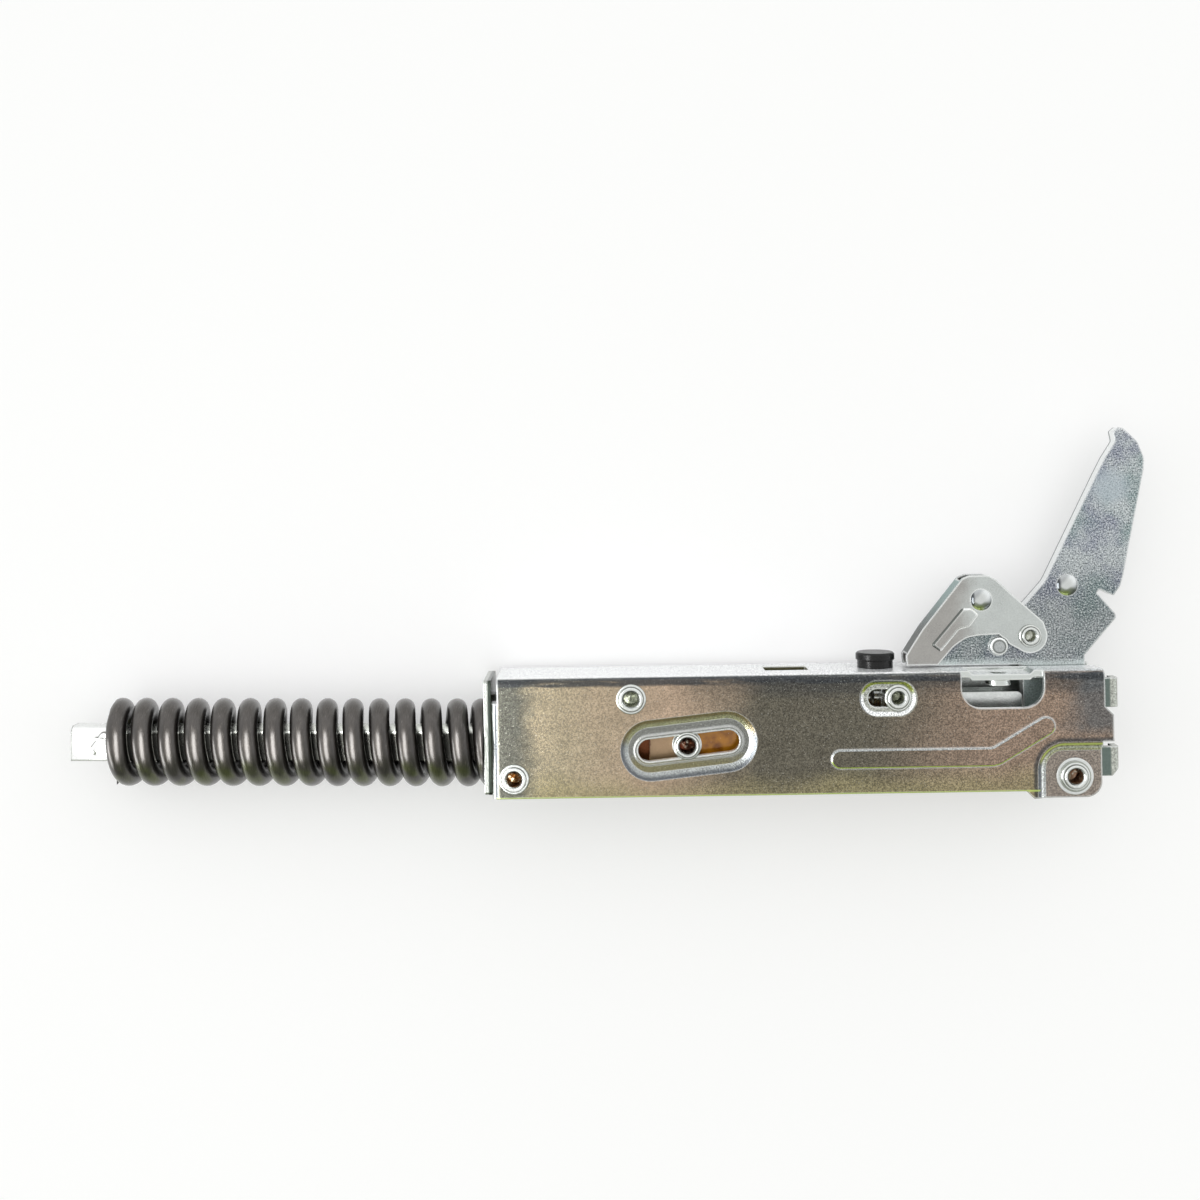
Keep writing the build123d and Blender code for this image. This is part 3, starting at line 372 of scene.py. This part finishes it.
    # Painted light inside the channel, painted green reflections along the lower edges, the lip and
    # the rib, and painted highlights along the edges
    inside_painted_light = s.mix((0.58, 0.61, 0.59), (0.36, 0.35, 0.22), s.band(s.x, 116.0, 110.0))
    inside = s.band(s.z.size(), WALL_INSIDE + 0.4, WALL_INSIDE + 0.1) * s.band(along, 0.9, 0.7)
    colour = s.mix(colour, inside_painted_light, inside)
    green_rim_reflection = s.stripe(s.y, 0.1, 0.8) * s.band(s.z, WALL_FACE - 0.4, WALL_FACE - 0.1)
    facing_down = s.band(along, -0.5, -0.9) * s.band(s.z, WALL_INSIDE - 0.5, WALL_INSIDE + 0.1)
    green_rim_reflection = green_rim_reflection.most(facing_down).most(lip * (1 - inside))
    colour = s.mix(colour, (0.52, 0.66, 0.14), green_rim_reflection * 0.8)
    green_reflection = green_rim_reflection.most(ribbed * slope * under)
    edge_highlight = s.near_edges(0.75) * (1 - green_reflection) * (1 - ribbed)
    colour = s.mix(colour, PALE_ZINC, edge_highlight * 0.7)
    relief = s.bump((0.6 * fine + 0.5 * speck + streaks) * (1 - web_painted_reflection), 0.014, s.soft_edges(0.35))
    return s.set(
        base_color=colour, metallic=1 - 0.85 * green_reflection.most(0.6 * edge_highlight).most(0.6 * web_painted_reflection),
        roughness=0.2 + 0.1 * speck, normal=relief)


def dome_painted_light(s, across, along):
    """A dimple's painted light: a bright crown, a green painted reflection below it and flanks in
    painted shade.
    """
    colour = s.mix((0.58, 0.60, 0.59), (0.07, 0.08, 0.085), s.band(across - along, 0.1, 0.9) * 0.8)
    colour = s.mix(colour, (0.16, 0.17, 0.18), s.band(along - across, 0.3, 0.7) * 0.5)
    colour = s.mix(colour, DARK_ZINC, s.band(across, -0.38, -0.55) * 0.95)
    green_reflection = s.band(along, -0.25, -0.5) * s.band(across, 0.3, -0.1)
    return s.mix(colour, (0.36, 0.44, 0.13), green_reflection * 0.9)


def arm_zinc():
    """Bluish zinc with a crystalline speckle, cloudy patches and a smooth dimple, with painted
    light and shade on its dimple, edges, claw tip and foot and inside the channel.
    """
    s = Shade("arm_zinc")
    grain = s.noise(0.4, 3.0, rough=0.9)
    clouds = s.noise(9.0, 3.0, rough=0.6)
    pale = s.band(s.reach(ARM_PATCH) + 4 * clouds, 8.5, 4.5)
    tint = s.band(s.noise(16.0, 2.0), 0.4, 0.6)
    colour = s.mix((0.20, 0.265, 0.265), (0.215, 0.235, 0.29), tint)
    colour = s.mix(colour, (0.40, 0.435, 0.445), s.band(clouds, 0.35, 0.65))
    colour = s.scaled(colour, 0.68 + 0.52 * s.band(s.y, 40.0, 64.0))
    colour = s.mix(colour, (0.40, 0.47, 0.52), pale * 0.6)
    # Painted reflection: a pale band at the arm's foot, above the channel's back
    foot = s.band(s.y + 3 * clouds, 34.0, 31.5)
    colour = s.mix(colour, (0.66, 0.73, 0.72), foot * 0.9)
    # Painted light: the part inside the channel lifted to teal from its shade
    inside_channel_painted_light = s.band(s.y + 6 * clouds, 34.0, 26.0)
    colour = s.mix(colour, (0.34, 0.42, 0.41), inside_channel_painted_light * 0.9)
    contrast = 1 - 0.55 * pale.most(foot)
    colour = s.mix(colour, (0.035, 0.04, 0.05), s.band(grain, 0.49, 0.41) * contrast * 0.85)
    colour = s.mix(colour, (0.90, 0.93, 0.94), s.band(grain, 0.53, 0.61) * contrast * 0.7)
    # Painted highlight along the claw's tip
    colour = s.mix(colour, PALE_ZINC, s.band(s.y + 6 * grain, 91.0, 94.0) * 0.6)
    dome = s.band(s.reach(ARM_DIMPLE), *DIMPLE_EDGE) * s.band(s.z, ARM_FACE - 0.1, ARM_FACE + 0.1)
    across, along, up = s.facing()
    colour = s.mix(colour, dome_painted_light(s, across, along), dome)
    side = s.band(up, 0.6, 0.2)
    colour = s.mix(colour, SIDE_AND_HIGHLIGHT_ZINC, side)
    # Painted highlights along the edges
    edge_highlight = s.near_edges(0.7) * (1 - dome)
    colour = s.mix(colour, SIDE_AND_HIGHLIGHT_ZINC, edge_highlight * 0.8)
    # Painted shadow line low down on the arm's sides
    colour = s.mix(colour, (0.30, 0.32, 0.32), side * s.band(s.z, -1.1, -1.3))
    relief = s.bump(grain * (1 - dome), 0.03, s.soft_edges(0.3))
    return s.set(
        base_color=colour, metallic=1 - 0.6 * edge_highlight.most(inside_channel_painted_light),
        roughness=0.12 + (1 - dome) * (0.08 + 0.2 * grain), normal=relief)


def lever_zinc():
    """Smooth light zinc, browner towards the nose, with painted highlights along its edges and rib,
    painted shade on the rib's left side, painted light on the dimple and a dark folded side.
    """
    s = Shade("lever_zinc")
    grain = s.noise(0.45, 3.0, rough=0.9)
    clouds = s.noise(7.0, 3.0, rough=0.6)
    colour = s.mix((0.44, 0.43, 0.41), (0.62, 0.655, 0.64), s.band(s.x + 9 * clouds, 119.0, 128.0))
    colour = s.scaled(colour, (0.7 + 0.3 * clouds) * (0.65 + 0.6 * grain))
    dome = s.band(s.reach(LEVER_DIMPLE), *DIMPLE_EDGE)
    dome = dome * s.band(s.z, LEVER_FACE - 0.15, LEVER_FACE + 0.05)
    across, along, up = s.facing()
    colour = s.mix(colour, dome_painted_light(s, across, along), dome)
    # Painted highlight on the rib's sides, and painted shade where they face left
    raised = s.band(up, 0.98, 0.9) * s.band(s.z, LEVER_FACE - 0.05, LEVER_FACE + 0.05) * (1 - dome)
    painted_flank_shading = s.mix((0.92, 0.93, 0.92), (0.12, 0.13, 0.12), s.band(across, -0.1, -0.3))
    colour = s.mix(colour, painted_flank_shading, raised)
    side = s.mix((0.03, 0.04, 0.036), (0.20, 0.30, 0.29), s.band(s.y, 38.0, 50.0))
    colour = s.mix(colour, side, s.band(across, -0.2, -0.6) * s.band(up, 0.5, 0.2))
    # Painted highlights along the edges
    edge_highlight = s.near_edges(0.8) * (1 - dome) * (1 - raised)
    colour = s.mix(colour, (0.90, 0.92, 0.91), edge_highlight * 0.9)
    relief = s.bump(grain * (1 - dome), 0.02, s.soft_edges(0.3))
    white = edge_highlight.most(raised * s.band(across, -0.3, -0.1))
    return s.set(
        base_color=colour, metallic=1 - 0.75 * white,
        roughness=0.14 + (1 - dome) * (0.06 + 0.16 * clouds), normal=relief)


def plating_with_edge_highlights(s, colour, edge_highlight, grain, rough, rounding):
    """Painted highlights along the edges of a colour, over a fine relief."""
    return s.set(
        base_color=s.mix(colour, EDGE_HIGHLIGHT_ZINC, edge_highlight * 0.85), metallic=1 - 0.6 * edge_highlight,
        roughness=rough, normal=s.bump(grain, 0.02, s.soft_edges(rounding)))


def bright_finish():
    """Smooth plating with a faint cloudiness and a fine grain."""
    s = Shade("bright_zinc")
    fine = s.noise(0.6, 3.0, rough=0.7)
    clouds = s.noise(5.0, 2.0)
    colour = s.scaled((0.66, 0.68, 0.67), 0.62 + 0.4 * clouds + 0.36 * fine)
    # Painted highlights along the edges
    return plating_with_edge_highlights(s, colour, s.near_edges(0.3), fine, 0.18 + 0.14 * clouds, 0.3)


def bracket_finish():
    """Dull blue-green plating, with speckled light ends on the tabs."""
    s = Shade("bracket_zinc")
    speck = s.noise(0.6, 3.0, rough=0.9)
    colour = s.scaled((0.13, 0.165, 0.15), 0.6 + 0.8 * speck)
    end = s.band(s.x, TAB_TIP, TAB_TIP + 0.5)
    colour = s.mix(colour, s.scaled((0.62, 0.64, 0.58), 2.2 * speck - 0.4), end * 0.9)
    # Painted highlights along the edges
    return plating_with_edge_highlights(s, colour, s.near_edges(0.45), speck, 0.2, 0.4)


def seat_finish():
    """Pale drawn plating, dark along the side against the channel."""
    s = Shade("seat_zinc")
    lines = s.noise(1.0, 3.0, stretch=(4.0, 0.3, 1.0), rough=0.8)
    shadow = s.band(s.x, SEAT_SHADE, SEAT_SHADE + 0.4)
    colour = s.scaled(
        s.mix((0.42, 0.44, 0.41), (0.045, 0.055, 0.045), shadow), 0.3 + 1.4 * lines)
    # Painted highlights along the edges, none in the painted shadow
    return plating_with_edge_highlights(s, colour, s.near_edges(0.2) * (1 - shadow), lines, 0.2, 0.2)


def pin_finish():
    """The stop pin's end: a painted highlight on its rim, a ring of painted shade inside it and a
    grey middle.
    """
    s = Shade("pin_zinc")
    fine = s.noise(0.7, 3.0, rough=0.8)
    reach = s.reach(STOP_PIN)
    colour = s.scaled((0.42, 0.44, 0.44), 0.5 + fine)
    # A ring of painted shade, then a painted highlight on the rim
    colour = s.mix(colour, (0.10, 0.11, 0.10), s.stripe(reach, 1.55, 0.7) * 0.8)
    colour = s.mix(colour, (0.88, 0.90, 0.88), s.band(reach, 1.7, 1.95))
    return s.set(
        base_color=colour, metallic=1.0, roughness=0.2 + 0.14 * fine,
        normal=s.bump(fine, 0.03, s.soft_edges(0.3)))


def spring_finish(name, wire):
    """Dark oil-hardened wire with a gloss and drawn lines along it, with painted reflections: green
    on its lower sides and lighter on its upper sides, as the hinge is drawn.
    """
    s = Shade(name)
    fine = s.noise(wire, 3.0, stretch=(2.5, 0.4, 0.4), rough=0.85)
    clouds = s.noise(7.0, 2.0)
    along, up = s.facing()[1:]
    colour = s.mix((0.03, 0.026, 0.023), (0.055, 0.050, 0.045), clouds)
    # Painted green reflection on the lower sides of the wire
    stain_and_green_reflection = s.band(along, -0.2, -0.5) * s.band(up, 0.2, 0.5) * s.band(clouds, 0.35, 0.6)
    colour = s.mix(colour, (0.058, 0.068, 0.012), stain_and_green_reflection * 0.8)
    # Lighter on the upper sides: a painted reflection
    colour = s.scaled(colour, (0.3 + 1.4 * fine) * (1.0 + 0.5 * s.band(along, 0.3, 0.8)))
    colour = s.mix(colour, (0.17, 0.155, 0.14), s.band(fine, 0.6, 0.75) * 0.5)
    return s.set(
        base_color=colour, metallic=1.0, roughness=0.3 + 0.12 * fine, coat_weight=0.8,
        coat_roughness=0.24, normal=s.bump(fine, 0.045))


def link_finish():
    """Passivated steel that carries amber grease to the right of the slider."""
    s = Shade("greased_link")
    fine = s.noise(0.8, 3.0, rough=0.7)
    clouds = s.noise(3.5, 3.0)
    plate = s.mix((0.27, 0.18, 0.11), (0.38, 0.27, 0.17), fine)
    grease = s.mix((0.22, 0.065, 0.003), (0.52, 0.21, 0.012), s.band(clouds, 0.35, 0.65))
    share = s.band(s.x + 2 * clouds, SLIDER[0] + 1.5, SLIDER[0] + 3.5)
    smear_and_dark_reflection = s.band(s.x + 3 * clouds, SLIDER[0] - 7.4, SLIDER[0] - 8.4)
    colour = s.mix(plate, grease, share)
    colour = s.mix(colour, (0.14, 0.035, 0.012), smear_and_dark_reflection)
    share = share.most(smear_and_dark_reflection)
    # Painted glints on the grease
    colour = s.mix(colour, (0.9, 0.86, 0.8), s.band(fine, 0.68, 0.74) * share)
    relief = s.bump(fine, 0.03, s.soft_edges(0.2))
    return s.set(
        base_color=colour, metallic=1 - 0.8 * share, roughness=0.36 - 0.22 * share,
        coat_weight=share * 0.3, normal=relief)


def rod_finish():
    """Zinc that is bright beyond the spring, in painted shadow below its upper edge inside it, and
    stained in the channel.
    """
    s = Shade("rod_zinc")
    fine = s.noise(0.7, 3.0, rough=0.7)
    clouds = s.noise(5.0, 2.0)
    # Painted shadow on the rod inside the spring, below its upper edge
    height = s.y - SLIDER[1] + sin(ROD_TILT) * (s.x - SLIDER[0])
    spring_shadow = s.mix((0.10, 0.10, 0.09), (0.80, 0.82, 0.76), s.band(height + fine, 2.0, 2.6))
    colour = s.mix((0.80, 0.81, 0.80), spring_shadow, s.band(s.x, ROD_BARE, ROD_BARE + 2.0))
    colour = s.mix(colour, (0.13, 0.045, 0.02), s.band(s.x, 0.0, 6.0))
    colour = s.scaled(colour, 0.74 + 0.24 * clouds + 0.26 * fine)
    colour = s.mix(colour, (0.13, 0.14, 0.12), s.near_edges(0.6) * s.band(fine, 0.25, 0.45) * 0.9)
    up = s.facing()[2]
    # Painted shadow round the foot of the ear
    painted_flank_shading = s.band(s.z, ROD_SIDE - 0.1, ROD_SIDE) * s.band(up, 0.85, 0.6)
    colour = s.mix(colour, (0.10, 0.09, 0.075), painted_flank_shading * 0.9)
    relief = s.bump(fine, 0.03, s.soft_edges(0.3))
    return s.set(
        base_color=colour, metallic=1.0, roughness=0.2 + 0.14 * clouds, normal=relief)


def rubber_finish():
    """Black rubber with a faint sheen."""
    s = Shade("bumper_rubber")
    fine = s.noise(0.5, 3.0, rough=0.7)
    colour = s.mix((0.004, 0.004, 0.004), (0.010, 0.010, 0.010), fine)
    s.surface.inputs["Specular IOR Level"].default_value = 0.28
    return s.set(
        base_color=colour, roughness=0.2 + 0.12 * fine,
        normal=s.bump(fine, 0.02, s.soft_edges(0.4)))


def rivet_finish(name, centres, head, bore, face, stain_and_green_reflection, other_stain=(0.44, 0.45, 0.39)):
    """Bright plating with painted shade in the groove round the rolled collar and on the head's
    outer edge, stained down the bore, with painted reflections in it.

    The head and bore are radii, the face is the head's height, and the other stain is the one
    towards the arm.
    """
    s = Shade(name)
    fine = s.noise(0.6, 3.0, rough=0.7)
    reach = s.reach(centres[0])
    for centre in centres[1:]:
        reach = reach.least(s.reach(centre))
    colour = s.scaled((0.70, 0.72, 0.70), 0.7 + 0.5 * fine)
    collar = bore + 0.6 * (head - bore)
    # Painted shade in the groove round the collar
    groove = s.stripe(reach, collar + 0.08, 0.5)
    colour = s.mix(colour, (0.10, 0.11, 0.09), groove * 0.75)
    # Painted shade on the head's outer edge
    colour = s.mix(colour, (0.26, 0.28, 0.24), s.band(reach, head - 0.3, head) * 0.7)
    depth = s.band(s.z.size(), face - 0.5, face - 1.4) * s.band(reach, bore + 0.1, bore)
    inside = s.mix(stain_and_green_reflection, other_stain, s.band(s.x, 15.0, 25.0))
    # Painted reflections: pale spots down the bore
    inside = s.mix(inside, (0.66, 0.68, 0.62), s.band(s.noise(1.1, 2.0), 0.52, 0.62))
    colour = s.mix(colour, inside, depth)
    return s.set(
        base_color=colour, metallic=1.0, roughness=0.18 + 0.14 * fine,
        normal=s.bump(fine, 0.02, s.soft_edges(0.2)))


HOUSING = housing_zinc()
ARM = arm_zinc()
LEVER = lever_zinc()
BRIGHT = bright_finish()
BRACKET = bracket_finish()
SEAT = seat_finish()
PIN = pin_finish()
SPRING = spring_finish("spring_wire", 0.8)
SMALL_SPRING = spring_finish("small_spring_wire", 0.3)
LINK = link_finish()
ROD = rod_finish()
RUBBER = rubber_finish()
TIE_PLATING = rivet_finish(
    "tie_plating", [END_TIE, UPPER_TIE], head=3.75, bore=1.9, face=12.0, stain_and_green_reflection=(0.24, 0.13, 0.05))
PIVOT_PLATING = rivet_finish(
    "pivot_plating", [MAIN_PIVOT], head=3.6, bore=1.9, face=12.0, stain_and_green_reflection=(0.30, 0.20, 0.13),
    other_stain=(0.36, 0.24, 0.17))
SLIDER_PLATING = rivet_finish(
    "slider_plating", [SLIDER], head=3.4, bore=2.0, face=11.45, stain_and_green_reflection=(0.12, 0.05, 0.03),
    other_stain=(0.12, 0.05, 0.03))
PLUNGER_PLATING = rivet_finish(
    "plunger_plating", [PLUNGER_RIVET], head=3.35, bore=1.5, face=11.6, stain_and_green_reflection=(0.22, 0.24, 0.14))
LEVER_PLATING = rivet_finish(
    "lever_plating", [LEVER_PIVOT], head=2.9, bore=1.3, face=4.2, stain_and_green_reflection=(0.20, 0.17, 0.13))


# Pieces and meshes

def added(name, data):
    """A new object in the scene that shows a mesh, a lamp or a camera."""
    piece = bpy.data.objects.new(name, data)
    bpy.context.scene.collection.objects.link(piece)
    return piece


def finished(name, mesh, material, body):
    """Put a mesh into the scene with its finish and let it ride on a body, if one is given."""
    for face in mesh.polygons:
        face.use_smooth = True
    mesh.materials.append(material)
    piece = added(name, mesh)
    if body:
        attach(piece, body)
    return piece


def mesh_of(name, points, faces):
    """A mesh between drawn places."""
    mesh = bpy.data.meshes.new(name)
    mesh.from_pydata([tuple(at(*point)) for point in points], [], faces)
    mesh.update()
    return mesh


def mesh_from(name, form):
    """A mesh of what was modelled in a form."""
    mesh = bpy.data.meshes.new(name)
    form.to_mesh(mesh)
    form.free()
    return mesh


def swept_wire(name, centre, frame_of, radius, rings, sides, squeeze):
    """A closed tube along a centre line; squeeze moves each point, such as onto a ground end."""
    points, faces = [], []
    for i in range(rings + 1):
        middle = centre(i / rings)
        outward, sideways = frame_of(i / rings)
        for k in range(sides):
            angle = 2 * pi * k / sides
            spot = middle + outward * (radius * cos(angle)) + sideways * (radius * sin(angle))
            points.append(squeeze(spot))
    for i in range(rings):
        for k in range(sides):
            a, b = i * sides + k, i * sides + (k + 1) % sides
            faces.append((a, b, b + sides, a + sides))
    faces.append(tuple(reversed(range(sides))))
    last = rings * sides
    faces.append(tuple(last + k for k in range(sides)))
    return mesh_of(name, points, faces)


# Springs

SPRING_OUTSIDE = 22.2
SPRING_WIRE = 5.25
SPRING_RADIUS = (SPRING_OUTSIDE - SPRING_WIRE) / 2
SPRING_TURNS = 15
SPRING_LENGTH = 94.5
SPRING_CLOSED = 5.75
SPRING_GROUND = 1.7
SPRING_STEPS = 48
SPRING_SIDES = 28
SEAT_FACE = -3.7
ROD_DROP = 1.1
SPRING_RIGHT = SEAT_FACE - SLIDER[0]
SPRING_LEFT = SPRING_RIGHT - SPRING_LENGTH
SMALL_OUTSIDE = 6.4
SMALL_WIRE = 0.9
SMALL_RADIUS = (SMALL_OUTSIDE - SMALL_WIRE) / 2
SMALL_TURNS = 8
SMALL_STEPS = 36
SMALL_SIDES = 12


def on_rod(spot):
    """A place in the rod's tilted frame, as drawn."""
    x, y, z = spot
    return Vector((
        SLIDER[0] + x * cos(ROD_TILT) + y * sin(ROD_TILT),
        SLIDER[1] - x * sin(ROD_TILT) + y * cos(ROD_TILT), z))


def across_wire(angle):
    """The two directions across a coiled wire, at an angle round the spring."""
    return Vector((0, cos(angle), sin(angle))), Vector((1, 0, 0))


def main_spring():
    """The long compression spring, ground flat at both ends."""
    start_angle = pi
    whole = SPRING_LENGTH + 2 * SPRING_GROUND
    pitch = (whole - 2 * SPRING_CLOSED) / (SPRING_TURNS - 2)

    def centre(share):
        turn = share * SPRING_TURNS
        closed = SPRING_CLOSED * (min(turn, 1) + max(turn - SPRING_TURNS + 1, 0))
        wide = pitch * min(max(turn - 1, 0), SPRING_TURNS - 2)
        along = SPRING_LEFT - SPRING_GROUND + closed + wide
        angle = start_angle + 2 * pi * turn
        return Vector((
            along, SPRING_RADIUS * cos(angle) - ROD_DROP, SPRING_RADIUS * sin(angle)))

    def frame_of(share):
        return across_wire(start_angle + 2 * pi * share * SPRING_TURNS)

    def ground(spot):
        spot.x = min(max(spot.x, SPRING_LEFT), SPRING_RIGHT)
        return on_rod(spot)

    mesh = swept_wire(
        "main_spring_coil", centre, frame_of, SPRING_WIRE / 2, SPRING_STEPS * SPRING_TURNS,
        SPRING_SIDES, ground)
    piece = finished("main_spring_coil", mesh, SPRING, None)
    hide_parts("main_spring")
    seat = at(*on_rod(Vector((SPRING_RIGHT, 0, 0))))
    far = at(*on_rod(Vector((SPRING_LEFT, 0, 0))))
    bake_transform(piece)


def plunger_spring():
    """The small spring behind the plunger."""
    low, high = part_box("plunger_spring")
    left = low.x / MM - OFFSET.x
    right = high.x / MM - OFFSET.x
    run = right - left - SMALL_WIRE

    def centre(share):
        angle = 2 * pi * SMALL_TURNS * share
        return Vector((
            left + SMALL_WIRE / 2 + run * share,
            PLUNGER_RIVET[1] + SMALL_RADIUS * cos(angle), SMALL_RADIUS * sin(angle)))

    def frame_of(share):
        return across_wire(2 * pi * SMALL_TURNS * share)

    mesh = swept_wire(
        "plunger_spring_coil", centre, frame_of, SMALL_WIRE / 2, SMALL_STEPS * SMALL_TURNS,
        SMALL_SIDES, Vector)
    piece = finished("plunger_spring_coil", mesh, SMALL_SPRING, None)
    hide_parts("plunger_spring")
    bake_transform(piece)


# The rib pressed out of the lock lever

LEVER_RIB = (
    (-25.2, -2.0), (-22.7, -3.8), (-17.9, 1.8), (-15.4, 2.3), (-12.9, 5.5), (-14.6, 7.3),
    (-17.2, 7.3))
RIB_CORNER = 0.6
RIB_SEAT = 0.1
RIB_SLOPE = ((0.14, 0.15), (0.16, 0.14), (0.16, 0.08), (0.12, 0.03), (0.05, 0.0))


def lever_rib():
    """A raised face on the lever's near cheek, each step of its sides an inset and a rise."""
    form = bmesh.new()
    ring = [
        form.verts.new(at(LEVER_PIVOT[0] + x, LEVER_PIVOT[1] + y, LEVER_FACE - RIB_SEAT))
        for x, y in LEVER_RIB]
    form.faces.new(ring)
    bmesh.ops.bevel(
        form, geom=ring, offset=RIB_CORNER * MM, segments=5, profile=0.5, affect="VERTICES")
    foot = form.faces[:]
    grown = bmesh.ops.extrude_face_region(form, geom=foot, use_keep_orig=True)
    raised = [part for part in grown["geom"] if isinstance(part, bmesh.types.BMFace)]
    bmesh.ops.translate(form, verts=raised[0].verts, vec=(0, 0, RIB_SEAT * MM))
    for inward, rise in RIB_SLOPE:
        bmesh.ops.inset_region(form, faces=raised, thickness=inward * MM, depth=rise * MM)
    bmesh.ops.recalc_face_normals(form, faces=form.faces)
    finished("lever_rib", mesh_from("lever_rib", form), LEVER, "lock_lever")


# The ear pressed out of the rod's near side

ROD_EAR_RUN = Vector((2.2, 3.0, 0.0))
ROD_EAR_SIZE = Vector((1.45, 1.45, 1.0))
ROD_EAR_SINK = 0.1


def rod_ear():
    """A rounded lug that keeps the spring on the rod."""
    form = bmesh.new()
    bmesh.ops.create_icosphere(form, subdivisions=4, radius=1.0)
    for vert in form.verts:
        spot = Vector((*ROD_EAR, ROD_SIDE - ROD_EAR_SINK)) + vert.co * ROD_EAR_SIZE
        if vert.co.dot(ROD_EAR_RUN) > 0:
            spot += ROD_EAR_RUN
        vert.co = at(*spot)
    finished("rod_ear", mesh_from("rod_ear", form), ROD, "pull_rod")


# Finishes of the frame's own pieces

finishes = {
    "housing": HOUSING, "front_bracket_near": BRACKET, "front_bracket_far": BRACKET,
    "spring_seat_plate": SEAT, "tie_rivets": TIE_PLATING, "tie_spacers": BRIGHT,
    "main_pivot_rivet": PIVOT_PLATING, "main_pivot_washers": BRIGHT, "pivot_bushes": BRIGHT,
    "bumper": RUBBER, "main_spring": SPRING, "pull_rod": ROD, "slider_rivet": SLIDER_PLATING,
    "slider_washers": BRIGHT, "drag_link_near": LINK, "drag_link_far": LINK, "claw_arm": ARM,
    "crank_pin": BRIGHT, "lever_rivet": LEVER_PLATING, "lever_stop_pin": PIN,
    "lock_lever": LEVER, "plunger": BRIGHT, "plunger_rivet": PLUNGER_PLATING,
    "plunger_spacers": BRIGHT, "plunger_spring": SMALL_SPRING}
for name, material in finishes.items():
    mesh = nodes[name].data
    mesh.materials.clear()
    mesh.materials.append(material)

main_spring()
plunger_spring()
lever_rib()
rod_ear()


# Floor, light and camera

FLOOR_HALF = 3000.0
FLOOR_GLOW = 0.42
SOFT_BOXES = (
    ("over_spring", (-66.0, 11.0, 122.0), (-66.0, 11.0, 11.0), (0.072, 0.16), 0.46),
    ("beside_spring", (-420.0, -130.0, 90.0), (-50.0, 11.0, 11.0), (0.3, 0.12), 1.2))
LENS_LENGTH = 45.225
SENSOR_WIDTH = 36.0
LENS_SHIFT = -0.11667
NEAREST_SEEN = 0.01
CAMERA_PLACE = (26.62, 84.04, 386.0)
CAMERA_TURN = -0.0155


def floor():
    """A plain pale sheet that looks a little brighter than the light on it makes it."""
    s = Shade("floor_paper")
    rays = s.node("ShaderNodeLightPath", out="Is Camera Ray").socket.node.outputs
    seen = [Value(s, rays["Is " + kind + " Ray"]) for kind in ("Camera", "Glossy", "Transmission")]
    glow = s.scaled((1, 1, 1), seen[0].most(seen[1]).most(seen[2]) * FLOOR_GLOW)
    s.set(
        base_color=(0.575, 0.575, 0.575), roughness=1.0, emission_color=glow,
        emission_strength=1.0)
    base = -OFFSET.z
    corners = [
        (-FLOOR_HALF, -FLOOR_HALF, base), (FLOOR_HALF, -FLOOR_HALF, base),
        (FLOOR_HALF, FLOOR_HALF, base), (-FLOOR_HALF, FLOOR_HALF, base)]
    mesh = mesh_of("floor", corners, [(0, 1, 2, 3)])
    mesh.materials.append(s.material)
    piece = added("floor", mesh)


def soft_box(name, place, target, size, power):
    """A lamp that shines from its place at a target and shows only in what is glossy."""
    lamp = bpy.data.lights.new(name, "AREA")
    lamp.shape = "RECTANGLE"
    lamp.size, lamp.size_y = size
    lamp.energy = power
    piece = added(name, lamp)
    piece.location = at(*place)
    course = Vector(target) - Vector(place)
    piece.rotation_euler = course.to_track_quat("-Z", "Y").to_euler()
    piece.visible_camera = False
    piece.visible_diffuse = False


def studio():
    """A bright room, darker and a little green in front of the hinge, with two soft boxes."""
    world = bpy.data.worlds.new("studio")
    bpy.context.scene.world = world
    world.use_nodes = True
    s = Nodes(world.node_tree)
    y, z = s.parts(s.node("ShaderNodeTexCoord", out="Generated"))[1:]
    colour = s.mix((1.40, 1.41, 1.43), (1.02, 1.02, 1.01), s.band(z, 0.2, 0.97))
    front = s.band(y, -0.12, -0.55) * s.band(z, 0.92, 0.74)
    colour = s.mix(colour, (0.26, 0.29, 0.20), front * 0.9)
    s.plug(s.tree.nodes["Background"].inputs["Color"], colour)
    for name, place, target, size, power in SOFT_BOXES:
        soft_box(name, place, target, size, power)


def camera():
    """Straight above the hinge, with the view moved down as the photograph is framed."""
    lens = bpy.data.cameras.new("camera")
    lens.lens = LENS_LENGTH
    lens.sensor_width = SENSOR_WIDTH
    lens.shift_y = LENS_SHIFT
    lens.clip_start = NEAREST_SEEN
    piece = added("camera", lens)
    piece.location = at(*CAMERA_PLACE)
    piece.rotation_euler = (0, 0, CAMERA_TURN)
    bpy.context.scene.camera = piece


floor()
studio()
camera()
bpy.context.scene.view_settings.view_transform = "Standard"
